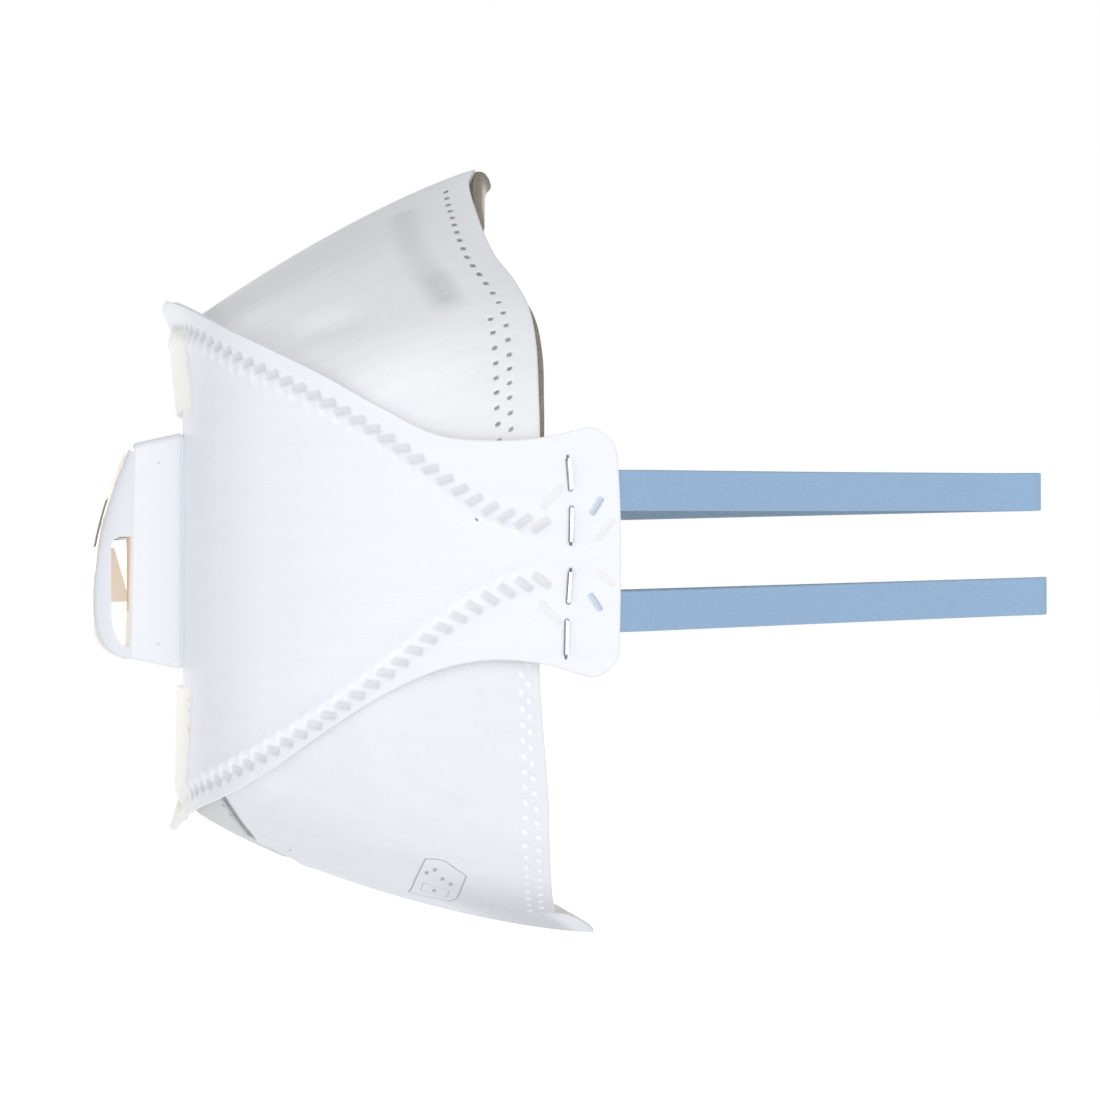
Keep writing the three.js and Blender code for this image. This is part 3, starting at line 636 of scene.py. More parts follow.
# %% Material of the cloth
def nonwoven(name, code, marks=(), prints=(), print_side="ABSOLUTE", lie=(1 / 8, 1), strong=1.0):
    """Spunbond cloth. marks are (attribute, softness, hex colour, share) of what is pressed into
    it and of painted shade and highlight, and prints are (lines, from, to, hex colour, share) of what lies
    so far from some lines: print, and painted shade in grooves and holes.
    print_side tells how the map's along is read: ABSOLUTE for both sides, MULTIPLY for the left.
    lie is how the fibres' noise is scaled along and across the map, and strong how far it shows."""
    material, tree = principled(
        name, Roughness=0.86, Sheen_Weight=0.12, Sheen_Roughness=0.5, Specular_IOR_Level=0.25
    )
    cloth_map = add_node(tree, "UVMap", uv_map="cloth").outputs["UV"]
    stretched = add_node(tree, "Mapping", {"Vector": cloth_map, "Scale": (*lie, 1)}).outputs[0]
    # Fibres are a fine stretched noise, and clouds are where they lie a little denser.
    fibres, clouds = [
        add_node(
            tree,
            "TexNoise",
            {"Vector": stretched, "Scale": 1 / (size * MM), "Detail": detail, "Roughness": rough},
        ).outputs["Fac"]
        for size, detail, rough in ((FIBRE_STREAK, 3.0, 0.6), (CLOUD, 2.0, 0.5))
    ]
    dimples = add_node(
        tree,
        "TexVoronoi",
        {"Vector": cloth_map, "Scale": 1 / (DIMPLE_PITCH * MM), "Randomness": 0.35},
    ).outputs["Distance"]
    ranges = (
        # value, its low and high end, what they turn to, and how it runs between
        (fibres, 0.35, 0.75, 0.0, 0.5 * strong, "LINEAR"),
        (clouds, 0.35, 0.7, 0.0, 0.35 * strong, "LINEAR"),
        (fibres, 0.3, 0.6, 0.6, 1.0, "LINEAR"),
        (dimples, 0.12, 0.34, 1.0, 0.0, "SMOOTHSTEP"),
    )
    streak, cloud, patchy, dimple = [
        add_node(
            tree,
            "MapRange",
            {"Value": value, "From Min": low, "From Max": high, "To Min": start, "To Max": end},
            interpolation_type=way,
        ).outputs["Result"]
        for value, low, high, start, end, way in ranges
    ]
    shade = tuple(own * kept for own, kept in zip(linear(code), SHADE))
    base = layered(tree, code, (streak, shade), (cloud, shade))
    for attribute, soft, colour, share in marks:
        distance = add_node(tree, "Attribute", attribute_name=attribute).outputs["Fac"]
        base = stain_and_shade(tree, base, distance, (0,), soft, (share, patchy), colour)
    # Both tabs carry the same prints, so the distance from the middle counts without its sign.
    parts = add_node(tree, "SeparateXYZ", {"Vector": cloth_map}).outputs
    flipped = add_node(tree, "Math", {0: parts["X"], 1: -1.0}, operation=print_side).outputs[0]
    place = add_node(tree, "CombineXYZ", {"X": flipped, "Y": parts["Y"]}).outputs[0]
    for lines, near, far, colour, share in prints:
        edges = [edge * MM for edge in (far, near) if edge]
        distance = nearest_line(tree, place, lines)
        base = stain_and_shade(tree, base, distance, edges, PRINT_SOFT * MM, (share, patchy), colour)
    height = add_node(tree, "Math", {0: dimple, 1: -0.5, 2: fibres}, operation="MULTIPLY_ADD").outputs[0]
    return coat(material, base, height, depth=0.06, strength=0.35)


inner_cloth = nonwoven("spunbond_polypropylene_lining", "#F4F1EA", [("weld_mark", 0.12, "#CFD3D8", 0.6)])
print("cloth:", inner_cloth.name)

# %% [markdown]
# ## Centre panel
# The centre panel is the broad band from tab to tab with the valve in its middle. Welding squeezes
# a row of slanted marks into each of its two seams, and the cloth puffs up between the seams. Past
# a seam the panel stands out as a thin fin. The marks are evenly spaced along the seam, which is
# measured on the flat cloth. They get longer and lie flatter towards the tabs.

# %% Seams of the centre panel
MARK_ROWS = table(
    "along length width tilt",
    (0, 2.1, 1.4, 25),
    (30, 2.25, 1.4, 22),
    (45, 2.5, 1.4, 12),
    (60, 2.9, 1.35, 6),
    (72, 3.0, 1.35, 15),
    (80, 3.2, 1.35, 32),
    (88, 3.2, 1.35, 35),
)
SEAMS = {
    # name: (first mark, pitch, side that the marks tilt to)
    "upper_weld": (2.03, 2.77, 1),
    "lower_weld": (1.05, 2.85, -1),
}
SEAM_END = 89.4
MARK_CORNER = 0.35
SEAM_ALONG = np.linspace(0, 92, 1841)
SEAM_HEIGHTS = {weld: follow(CENTRE_ROWS, weld, SEAM_ALONG) for weld in SEAMS}
SEAM_PATHS = {
    weld: lengths_along(np.stack([SEAM_ALONG, height, 0 * height], axis=1))
    for weld, height in SEAM_HEIGHTS.items()
}


def mark_count(weld):
    """Number of whole pitches between a seam's first mark and its last."""
    first, pitch, _ = SEAMS[weld]
    return math.floor((np.interp(SEAM_END, SEAM_ALONG, SEAM_PATHS[weld]) - first) / pitch)


def seam_marks(weld, along, z):
    """Distance of places on the flat cloth to the nearest mark of a seam, and to its line."""
    heights, path = SEAM_HEIGHTS[weld], SEAM_PATHS[weld]
    first, pitch, side = SEAMS[weld]
    along = np.abs(along)
    slope = np.interp(along, SEAM_ALONG, np.gradient(heights, SEAM_ALONG))
    beside = (z - np.interp(along, SEAM_ALONG, heights)) / np.hypot(1, slope)
    position = np.interp(along, SEAM_ALONG, path) + beside * slope / np.hypot(1, slope)

    def one_mark(place):
        """Distance to the mark at a place on the seam."""
        mark_along = np.interp(place, path, SEAM_ALONG)
        size = {k: follow(MARK_ROWS, k, mark_along) for k in ("length", "width", "tilt")}
        return rounded_bar(
            along - mark_along,
            z - np.interp(place, path, heights),
            size["length"] / 2,
            size["width"] / 2,
            MARK_CORNER,
            side * np.radians(size["tilt"]),
        )

    return nearest(one_mark, position, first, pitch, first + mark_count(weld) * pitch), beside

# %% Marks of the tabs
def tab_along(x):
    """Distance along the cloth of a place on a tab."""
    return PLAN_LENGTH - (TAB_X - x)


def on_tab(*lines):
    """Lines given by x and z of their ends, as lines of the flat cloth."""
    return [[(tab_along(x), z) for x, z in line] for line in lines]


TAN_BARS = on_tab(
    ((-7.5, 6.2), (-4.9, 9.1)),
    ((-7.8, -8.8), (-5.3, -11.6)),
    ((1.0, 1.4), (2.9, 4.0)),
    ((1.2, -4.0), (3.0, -5.7)),
)
BLUE_SLOTS = on_tab(((-0.1, 5.3), (1.3, 7.4)), ((-0.4, -7.6), (1.0, -9.7)))
SLOT_SHADES = on_tab(((0.15, 5.1), (1.55, 7.2)), ((-0.1, -7.5), (1.3, -9.6)))
STAPLE_LEGS = {
    # name of the staple: x and z of its legs' outer and inner ends, seen from outside
    "upper": [((-3.65, 13.3), (-3.35, 8.8)), ((-3.35, 0.9), (-3.25, 5.9))],
    "lower": [((-3.45, -4.2), (-3.75, -8.6)), ((-4.05, -16.5), (-3.95, -11.5))],
}
LEG_LINES = on_tab(*STAPLE_LEGS["upper"], *STAPLE_LEGS["lower"])
LEG_HOLES = on_tab(
    ((-3.65, 13.4), (-3.67, 13.9)),
    ((-3.35, 0.7), (-3.36, 0.3)),
    ((-3.42, -4.2), (-3.38, -3.5)),
    ((-4.06, -16.7), (-4.08, -17.2)),
)
SPECK = on_tab(((-18.05, 4.2), (-17.8, 4.0)))
STRIP_STAINS = [
    ((19.6, -24.2), (20.6, -24.3)),
    ((19.8, -25.9), (20.8, -26.1)),
    ((19.4, -28.4), (20.0, -29.4)),
    ((20.3, -29.5), (20.9, -28.7)),
]
TAB_PRINTS_AND_SHADES = [
    # lines, from, to, colour, share: what lies from so far to so far from the lines, in mm
    (TAN_BARS, 0, 0.5, "#ECE6DE", 0.45),
    (TAN_BARS, 0.36, 0.52, "#DAD4CC", 0.25),
    # A painted shadow along one side of each blue slot.
    (SLOT_SHADES, 0, 0.36, "#8F98A8", 0.7),
    (BLUE_SLOTS, 0, 0.38, "#CDD8EA", 0.95),
    # A painted contact shadow rings each staple leg.
    (LEG_LINES, 0.2, 0.42, "#74787C", 0.9),
    # The holes where the legs go in are painted dark: painted shade in them.
    (LEG_HOLES, 0, 0.24, "#55514E", 1.0),
    (SPECK, 0, 0.14, "#4E4A46", 0.9),
    (STRIP_STAINS, 0, 0.22, "#CDBDAA", 0.5),
]

# %% Strips and puffs of the centre panel
STRIP_FOOT = -22.6
STRIP_TOP = 22.4
STRIP_CLOSE = 35.3
STRIP_HALF_LENGTH = 22.0
PUFF_BESIDE = 1.7
PUFF_SIZE = 0.55


def strip_marks(along, z):
    """Distance to the two strips at the front where the layers are welded to a film. The upper
    one narrows towards its top, and the lower one towards its foot."""
    upper_end = STRIP_HALF_LENGTH - 0.45 * np.maximum(0, z - 26.5)
    lower_end = STRIP_HALF_LENGTH - 0.18 * np.maximum(0, STRIP_FOOT - z)
    upper = np.maximum(np.abs(along) - upper_end, np.maximum(STRIP_TOP - z, z - STRIP_CLOSE))
    lower = np.maximum(np.abs(along) - lower_end, z - STRIP_FOOT)
    return np.minimum(upper, lower)


def puff_marks(weld, along, z):
    """Distance to the nearest little puff, which swells beside the gap between two marks."""
    first, pitch, side = SEAMS[weld]
    here = np.interp(np.abs(along), SEAM_ALONG, SEAM_PATHS[weld])
    beside = side * (z - np.interp(np.abs(along), SEAM_ALONG, SEAM_HEIGHTS[weld])) + PUFF_BESIDE
    count = np.clip(np.rint((here - first) / pitch - 0.5), 0, mark_count(weld) - 2)
    return np.hypot(here - first - (count + 0.5) * pitch, beside * 0.8)

# %% Rows of the centre panel
COLUMN = 0.43
ROWS_IN_SEAM = 22
SEAM_HALF = 3.0
STEP_HALF = 0.2


def centre_rows(along):
    """Heights of the grid's rows at each column, closest together at the two seams."""
    along = np.abs(along)
    into = np.maximum(0, along - (PLAN_LENGTH - TAB_CORNER)) / TAB_CORNER
    drop = TAB_CORNER * (1 - np.sqrt(np.clip(1 - into**2, 0, 1)))
    top = follow(CENTRE_ROWS, "top", along) - drop
    bottom = follow(CENTRE_ROWS, "bottom", along) + drop
    upper = np.minimum(follow(CENTRE_ROWS, "upper_weld", along), top - 0.2)
    lower = np.maximum(follow(CENTRE_ROWS, "lower_weld", along), bottom + 0.2)
    half = np.minimum(SEAM_HALF, (upper - lower) / 3)
    fin_up = np.minimum(half, (top - upper) * 0.8)
    fin_down = np.minimum(half, (lower - bottom) * 0.8)
    inner_low, inner_high = lower + half, upper - half
    # Two rows follow the strips' straight edges at the front, and spread evenly further round.
    steps = []
    for level, share in ((STRIP_FOOT, 0.22), (STRIP_TOP, 0.85)):
        even = inner_low + (inner_high - inner_low) * share
        steps.append(level + (even - level) * steps_between(26, 45, along))
    edges = [bottom, lower - fin_down, inner_low]
    edges += [steps[0] - STEP_HALF, steps[0] + STEP_HALF, steps[1] - STEP_HALF, steps[1] + STEP_HALF]
    edges += [inner_high, upper + fin_up, top]
    counts = [8, ROWS_IN_SEAM, 7, 1, 14, 1, 7, ROWS_IN_SEAM, 10]  # rows between those edges
    rows = [edges[0]]
    for a, b, count in zip(edges, edges[1:], counts):
        rows.extend(a + (b - a) * k / count for k in range(1, count + 1))
    return np.stack(rows, axis=-1)

# %% Shape of the centre panel
MARK_DENT = 0.34
SEAM_VALLEY = 0.25
SEAM_SWELL = 0.16
PUFF_SWELL = 0.22
STRIP_RAISE = 0.2
FIN_WALL = 0.75
TAB_BOW = 0.8  # how far the tab's end draws back towards its upper corner
TAB_HALF = 17
BOW_LENGTH = 14
END_MARKS = 2.2  # length of a seam's end whose marks are paler
SEAM_FADE = (92, 86)  # between these the seams' relief dies out, at the tab
TAB_WALL = (84, 92)  # between these the wall grows to its full thickness, at the tab
RIM_SHADE_FROM = 72  # from here to the tab's end the cut edge gets a painted shade


def centre_sheet():
    """Points, wall thickness, map and marks of the centre panel."""
    columns = round(2 * PLAN_LENGTH / COLUMN)
    straight = PLAN_LENGTH - TAB_CORNER
    corner = straight + TAB_CORNER * np.sin(np.linspace(0, math.pi / 2, 13)[1:])
    middle = np.linspace(-straight, straight, columns - 24)
    along = np.concatenate([-corner[::-1], middle, corner])
    z = centre_rows(along)
    along = np.broadcast_to(along[:, None], z.shape)
    points = centre_point(along, z, 0.0)
    normals = grid_normals(points)
    upper, above = seam_marks("upper_weld", along, z)
    lower, below = seam_marks("lower_weld", along, z)
    weld = np.minimum(upper, lower)
    past = np.maximum(above, -below)  # how far past the nearer seam, on the fin's side
    flat = np.abs(along)
    strip = strip_marks(along, z)
    rim = np.minimum(np.minimum(z[:, -1:] - z, z - z[:, :1]), PLAN_LENGTH - flat)
    puff = np.minimum(*[puff_marks(weld_name, along, z) for weld_name in SEAMS])
    marks = {
        "weld_mark": weld,
        "end_mark": np.maximum(weld, SEAM_END - END_MARKS - flat),
        "puff": puff - PUFF_SIZE,
        "strip": strip,
        # The rims and the tab's end get a painted shade.
        "cut_edge": np.maximum(rim - 0.2, 0.2 * (RIM_SHADE_FROM - flat)),
    }
    fade = steps_between(*SEAM_FADE, flat)
    dent = MARK_DENT * steps_between(0.3, -0.4, weld)
    dent = dent + SEAM_VALLEY * bell(past, 1.5) * fade
    dent = dent - SEAM_SWELL * bell(past + 2.0, 1.0) * fade
    dent = dent - PUFF_SWELL * bell(puff, 0.75) * fade
    for lines, deep, reach in (
        (TAN_BARS, 0.2, (0.7, 0.2)),
        (BLUE_SLOTS, 0.3, (0.7, 0.2)),
        (LEG_HOLES, 0.5, (0.5, 0.1)),
    ):
        away = np.minimum.reduce([path_distance(line, flat, z) for line in lines])
        dent = dent + deep * steps_between(*reach, away)
    dent = dent - STRIP_RAISE * steps_between(0.3, -0.3, strip)
    points = points - normals * dent[..., None]
    end = steps_between(PLAN_LENGTH - BOW_LENGTH, PLAN_LENGTH, flat)
    points[..., 0] -= end * TAB_BOW * (z / TAB_HALF) ** 2 * np.where(z > 0, 1, 0.3)
    thickness = FIN_WALL + (CENTRE_WALL - FIN_WALL) * steps_between(0.3, -1.2, past)
    thickness = thickness + (CENTRE_WALL - thickness) * steps_between(*TAB_WALL, flat)
    return points, thickness - 0.5 * dent, (along, z), marks

# %% Centre panel
CENTRE_MARKS = [
    ("weld_mark", 0.22, "#D5D8DC", 0.8),
    ("end_mark", 0.25, "#E6E4E1", 0.7),
    # puff: white over each swell between the marks, a painted highlight.
    ("puff", 0.4, "#FFFFFF", 0.6),
    # strip: the welded strips are real, and their pale warm colour is painted light from the front.
    ("strip", 0.25, "#F8F7F2", 0.95),
    ("cut_edge", 0.15, "#DAD6D0", 0.6),
]
centre_cloth = nonwoven("spunbond_polypropylene", "#F2F5FA", CENTRE_MARKS, TAB_PRINTS_AND_SHADES)
centre = make_sheet("centre_cloth", *centre_sheet(), CENTRE_WALL, [centre_cloth, inner_cloth])
print("centre panel:", len(centre.data.vertices), "points")

# %% Opening for the valve's port
PORT_HALF = 7.5
PORT_Z = -0.4


def cut_port(sheet, half, middle):
    """Deletes the cloth's faces over the port."""
    mesh = sheet.data
    select_only(sheet)
    centres = np.zeros(3 * len(mesh.polygons))
    mesh.polygons.foreach_get("center", centres)
    centres = centres.reshape(-1, 3) / MM
    inside = np.all(np.abs(centres[:, 1:] - (0, middle)) < half, axis=1)
    inside &= centres[:, 0] < FRONT_X / 2
    for parts in (mesh.vertices, mesh.edges):
        parts.foreach_set("select", np.zeros(len(parts), bool))
    mesh.polygons.foreach_set("select", inside)
    bpy.ops.object.mode_set(mode="EDIT")
    bpy.ops.mesh.select_mode(type="FACE")
    bpy.ops.mesh.delete(type="FACE")
    bpy.ops.object.mode_set(mode="OBJECT")
    print("cut", int(inside.sum()), "faces out of", sheet.name)


cut_port(centre, PORT_HALF, PORT_Z)
give_wall(centre, CENTRE_WALL, (1, 1, 0))
settle(centre, "centre_panel")

# %% [markdown]
# ## Upper and lower panel
# Each of these panels is welded behind the centre panel and its rim shows as the second leaf of the
# fin. From there the cloth turns sharply back and spans to the face edge. Rows of needle dots run
# beside that edge, where the layers are pinned together. On the upper panel they are dark, and a
# second row joins them on the cheek. On the lower one they are pits in two rows, painted pale for
# the light that comes through them.

# %% Dots beside the face edges
DOT_PITCH = 2.777
LOWER_PITCH = 2.9
UPPER_DOTS = [
    # place of the first dot, how many follow it, and how far in the row lies along the edge
    (
        7.18,
        23,
        [(0, 4.3), (13, 4.5), (25, 4.8), (38, 5.4), (43, 5.1), (50, 4.7), (67, 5.0), (83, 4.9)],
    ),
    (49.8, 8, [(0, 7.0), (50, 7.1), (67, 7.2), (83, 7.1)]),
]
LOWER_DOTS = [
    (12.0, 22, [(0, 2.6), (10, 2.5), (20, 2.0), (35, 1.8), (43, 2.1), (50, 2.4), (82, 1.6)]),
    (13.1, 22, [(0, 4.6), (27, 4.1), (40, 4.1), (52, 3.7), (70, 3.1), (82, 2.9)]),
]
DOT_HALF = (0.34, 0.45)  # along the edge, and square to it
LONG_DOT_HALF = 0.52  # along the edge, where the edge is stretched
# How the even pitch of the dots is drawn out or closed up along the edge.
DOT_PACE = table("along path", (0, 0), (41, 41), (49.4, 50), (57.7, 58.2), (67.4, 69.2), (90, 94))


def dot_marks(rows, along, inset):
    """Distance to the nearest dot, by distance along the face edge and in from it."""
    along = np.abs(along)
    half_along, pitch = LONG_DOT_HALF, LOWER_PITCH
    if rows is UPPER_DOTS:
        half_along = LONG_DOT_HALF + (DOT_HALF[0] - LONG_DOT_HALF) * steps_between(37, 46, along)
        along, pitch = follow(DOT_PACE, "path", along), DOT_PITCH
    found = []
    for first, count, line in rows:
        row_inset = follow(table("along inset", *line), "inset", along)

        def one_dot(place):
            """Distance to the dot at a place on the row."""
            return rounded_bar(along - place, inset - row_inset, half_along, DOT_HALF[1], 0.12, 0.0)

        found.append(nearest(one_dot, along, first, pitch, first + count * pitch))
    return np.minimum.reduce(found)

# %% Shape of a panel with its rim
PANEL_WALL = 1.2
RIM_DEPTH = 1.55
RIM_ROWS = 8
BODY_ROWS = 52
EDGE_ROWS = 30
EDGE_BAND = 9.0
RIM_SHORT = 1.3
TAB_THINNING = 0.7  # of the wall at the pull tab, which is welded flat


def panel_sheet(panel, dots, rim, dot_dent, relief):
    """Points, thickness, map and marks of a panel, from the fin's rim to the face edge."""
    half_edge = lengths_along(panel["edge"])[-1] / 2
    columns = 2 * round(half_edge / (DOT_PITCH / 8))
    u = np.linspace(-1, 1, columns + 1)
    weld, edge = panel_ends(panel, u)
    span = np.linalg.norm(edge - weld, axis=-1)
    band_share = np.minimum(EDGE_BAND / span, 0.5)
    body = np.linspace(0, 1, BODY_ROWS + 1)[None, :] ** 1.15 * (1 - band_share[:, None])
    close = 1 - band_share[:, None] * np.linspace(1, 0, EDGE_ROWS + 1)[None, 1:]
    v = np.concatenate([body, close], axis=1)
    across = np.broadcast_to(u[:, None], v.shape)
    points = panel_point(panel, across, v)
    inset = (1 - v) * span[:, None]
    along_edge = across * half_edge

    # The rim stands behind the fin of the centre panel, from its edge down to the seam.
    along = u * WELD_END
    seam = follow(CENTRE_ROWS, panel["weld"], np.abs(along))
    fin = follow(CENTRE_ROWS, rim, np.abs(along))
    share = np.linspace(1, 0, RIM_ROWS + 1)[None, :-1]
    height = seam[:, None] + (fin - seam)[:, None] * share
    height = height - np.sign(fin - seam)[:, None] * RIM_SHORT * share
    depth = RIM_DEPTH + (WELD_DEPTH - RIM_DEPTH) * (1 - share)
    rim_points = centre_point(np.broadcast_to(along[:, None], height.shape), height, depth)
    rim_inset = span[:, None] + np.abs(height - seam[:, None])

    points = np.concatenate([rim_points, points], axis=1)
    inset = np.concatenate([rim_inset, inset], axis=1)
    along_edge = np.broadcast_to(along_edge[:, :1], points.shape[:2])
    # The face edge gets a painted shade along it.
    marks = {"dot": dot_marks(dots, along_edge, inset), "cut_edge": inset - 0.25}
    body_normals = grid_normals(points[:, RIM_ROWS:])
    normals = np.concatenate([0 * rim_points, body_normals], axis=1)
    swell, more_marks = relief(np.abs(along_edge), inset)
    marks.update(more_marks)
    dent = dot_dent * steps_between(0.15, -0.25, marks["dot"])
    points = points - normals * (dent - swell)[..., None]
    thickness = np.full(points.shape[:2], PANEL_WALL)
    if panel is LOWER:
        thin = steps_between(14, 9, np.abs(points[..., 1])) * steps_between(4.5, 1.0, inset)
        thickness = thickness - TAB_THINNING * thin
    thickness[:, :RIM_ROWS] = 0.55
    thickness[:, RIM_ROWS] = 0.8
    return points, thickness - 0.5 * dent, (along_edge, inset), marks


def make_panel(name, node, shape, cloth):
    """One of the two outer panels, from its shape to its place in the frame."""
    panel = make_sheet(name, *panel_sheet(*shape), PANEL_WALL, [cloth, inner_cloth])
    give_wall(panel, PANEL_WALL, (0, 1, 1))
    settle(panel, node)

# %% Upper panel
# Lines and places on the cloth are (along the face edge, in from it), in millimetres.
CLIP_LINE = [(13, 12.4), (30, 13.3), (42.8, 13.2)]
CLIP_HALF = 2.1
CLIP_SWELL = 0.2
UPPER_CREASE = [(30, 40), (37.4, 35.8), (39.5, 29.5)]
CHEEK = ((51, 24), (9, 11), 1.9)  # middle, half width and height of the swell over the cheek


def upper_relief(along, inset):
    """The clip's shape through the cloth, and the crease and the swell over the cheek."""
    clip = path_distance(CLIP_LINE, along, inset) - CLIP_HALF
    swell = CLIP_SWELL * steps_between(0.8, -0.8, clip)
    crease = path_distance(UPPER_CREASE, along, inset)
    swell = swell - 0.7 * bell(crease, 3.0)
    middle, half, high = CHEEK
    cheek = np.hypot((along - middle[0]) / half[0], (inset - middle[1]) / half[1])
    swell = swell + high * bell(cheek, 1)
    return swell, {"clip": clip, "clip_end": np.maximum(clip, 36 - along)}


UPPER_MARKS = [
    ("clip", 2.2, "#D2D7DA", 0.6),
    ("clip_end", 2.4, "#C6CCCF", 0.55),
    ("dot", 0.12, "#7C8087", 0.95),
    # The last of these is a painted shade along the face edge.
    ("cut_edge", 0.15, "#DAD6D0", 0.7),
]
upper_cloth = nonwoven(
    "spunbond_polypropylene_upper", "#F3F4F7", UPPER_MARKS, lie=(1.4, 1 / 6), strong=1.5
)
upper_shape = (UPPER, UPPER_DOTS, "top", 0.35, upper_relief)
make_panel("upper_cloth", "upper_panel", upper_shape, upper_cloth)

print("upper face edge:", round(lengths_along(UPPER["edge"])[-1], 1), "mm long")

# %% Folds and print of the lower panel
FOLD = table(
    "along inset", (0, 52.6), (8, 52.2), (14.2, 52.3), (17.4, 53.1), (24.9, 55.2), (32, 57.7)
)
FOLD_GROOVE = 0.35
STREAKS = [
    # line on the flat cloth, width, height
    ([(62.4, 8.5), (55.7, 10.5), (44.9, 14.5)], 1.6, 0.35),
    ([(60, 30), (46, 30)], 4.0, 0.4),
    ([(52, 18), (38, 24)], 3.0, -0.3),
]
PRINT_FRAME = [
    (29.0, 21.2), (29.6, 19.2), (29.4, 17.8), (25.6, 14.5), (22.4, 15.2), (19.0, 15.9), (15.2, 16.8),
    (12.6, 18.4), (12.9, 25.3), (16.9, 24.2), (21.4, 23.2), (25.5, 22.2),
]
PRINT_BOX = [(19.4, 22.2), (18.2, 17.8), (14.8, 18.6), (15.4, 23.0)]
PRINT_DOTS = [
    ((24.4, 21.2), (23.5, 21.4)),
    ((26.2, 19.7), (25.4, 19.9)),
    ((23.2, 18.6), (22.3, 18.8)),
    ((21.7, 17.3), (20.8, 17.5)),
    ((17.4, 20.4), (16.4, 20.7)),
]
SPOTS = [
    ((21.9, 55.5), (21.7, 55.4)),
    ((19.4, 54.6), (19.2, 54.6)),
    ((15.7, 45.1), (15.5, 45.1)),
    ((12.2, 44.6), (12.0, 44.6)),
]
GROOVE = [(26, 55.7), (22.8, 54.5), (20.6, 53.9), (17.4, 53.1), (14.2, 52.3), (8.0, 52.2)]
CHIN_SHADE = (21, 18)  # how far the painted shade at the chin reaches along the edge and in from it
CHIN_SOFT = 9


def lower_relief(along, inset):
    """The fold under the fin at the front, soft streaks where the cloth is pulled, and the painted shade at
    the fold and at the chin.
    """
    fold = inset - follow(FOLD, "inset", along)
    past_fold = steps_between(32, 26, along)
    swell = (0.2 * bell(fold + 2.2, 1.2) - FOLD_GROOVE * bell(fold, 0.8)) * past_fold
    for line, wide, high in STREAKS:
        swell = swell + high * bell(path_distance(line, along, inset), wide)
    # The chin gets a painted shade, which leaves the tab itself out.
    end, deep = CHIN_SHADE
    chin = np.maximum(along - end, inset - deep)
    tab = steps_between(14, 9, along) * steps_between(6, 2, inset)
    chin = np.maximum(chin, CHIN_SOFT * (2 * tab - 1))
    return swell, {"fold": np.maximum(0.3 - fold, along - 27), "chin": chin}

# %% Lower panel
LOWER_MARKS = [
    # chin: a painted shade that darkens the cloth towards the chin.
    ("chin", CHIN_SOFT, "#C9CCD1", 1.0),
    # fold: a painted shade on the cloth past the fold, under the fin.
    ("fold", 0.4, "#CFD0CE", 0.85),
    # dot: near white, painted light that comes through the thin pits.
    ("dot", 0.12, "#F8F8F8", 0.9),
    # The last of these is a painted shade along the face edge.
    ("cut_edge", 0.15, "#DAD6D0", 0.6),
]
frame_lines, box_lines = [list(zip(path, path[1:] + path[:1])) for path in (PRINT_FRAME, PRINT_BOX)]
groove_shade_lines = list(zip(GROOVE, GROOVE[1:]))
LOWER_PRINTS_AND_SHADES = [
    (frame_lines, 0, 0.13, "#8F959B", 0.9),
    (box_lines, 0, 0.1, "#999FA5", 0.7),
    (PRINT_DOTS, 0, 0.3, "#969CA2", 0.9),
    (SPOTS, 0, 0.25, "#8A8682", 0.8),
    # Both groove lines are painted shade in the groove of the fold.
    (groove_shade_lines, 0, 1.15, "#B9BBBA", 0.6),
    (groove_shade_lines, 0, 0.6, "#7F8184", 0.9),
]
# This cloth is a little darker than the centre panel's: painted shade, as less light falls on it.
lower_cloth = nonwoven(
    "spunbond_polypropylene_lower",
    "#EAEDF2",
    LOWER_MARKS,
    LOWER_PRINTS_AND_SHADES,
    print_side="MULTIPLY",
    lie=(1.2, 1 / 4),
    strong=1.3,
)
lower_shape = (LOWER, LOWER_DOTS, "bottom", 0.3, lower_relief)
make_panel("lower_cloth", "lower_panel", lower_shape, lower_cloth)

# %% [markdown]
# ## Nose foam
# A strip of soft polyurethane foam lines the upper face edge and seals it against the nose and the
# cheeks. Being thicker than the cloth it swells past the edge at the nose. A curve with a round
# profile would twist as it follows the edge. So rings of points are laid under the upper panel's
# own surface, each as deep and wide as a short table says, and joined to one closed strip.

# %% Course of the foam
FOAM_SPAN = 0.92
FOAM_ROWS = table(
    "along border proud depth",
    (0, 8, 1.3, 3.2),
    (0.07, 8, 1.9, 3.0),
    (0.13, 8, 1.6, 3.0),
    (0.28, 7.5, 0.2, 2.6),
    (0.5, 6.5, 0.3, 2.2),
    (0.6, 6, 0.7, 2.0),
    (0.75, 5, 0.8, 1.7),
    (1, 4, 0.5, 1.3),
)
FOAM_SEAT = PANEL_WALL + 1.2 * GAP
FOAM_COLUMNS = 220
FOAM_SIDES = 20


def under_panel(panel, u, v, depth):
    """Points a depth inside the outer face of a panel."""
    step = 0.01
    across = panel_point(panel, u + step, v) - panel_point(panel, u - step, v)
    down = panel_point(panel, u, v + step) - panel_point(panel, u, np.maximum(0, v - step))
    normals = np.cross(across, down)
    normals /= np.linalg.norm(normals, axis=-1, keepdims=True)
    here = panel_point(panel, u, v)
    side = np.sign(np.sum(normals * here * (0, 1, 1), axis=-1, keepdims=True))
    return here - normals * side * depth[..., None]


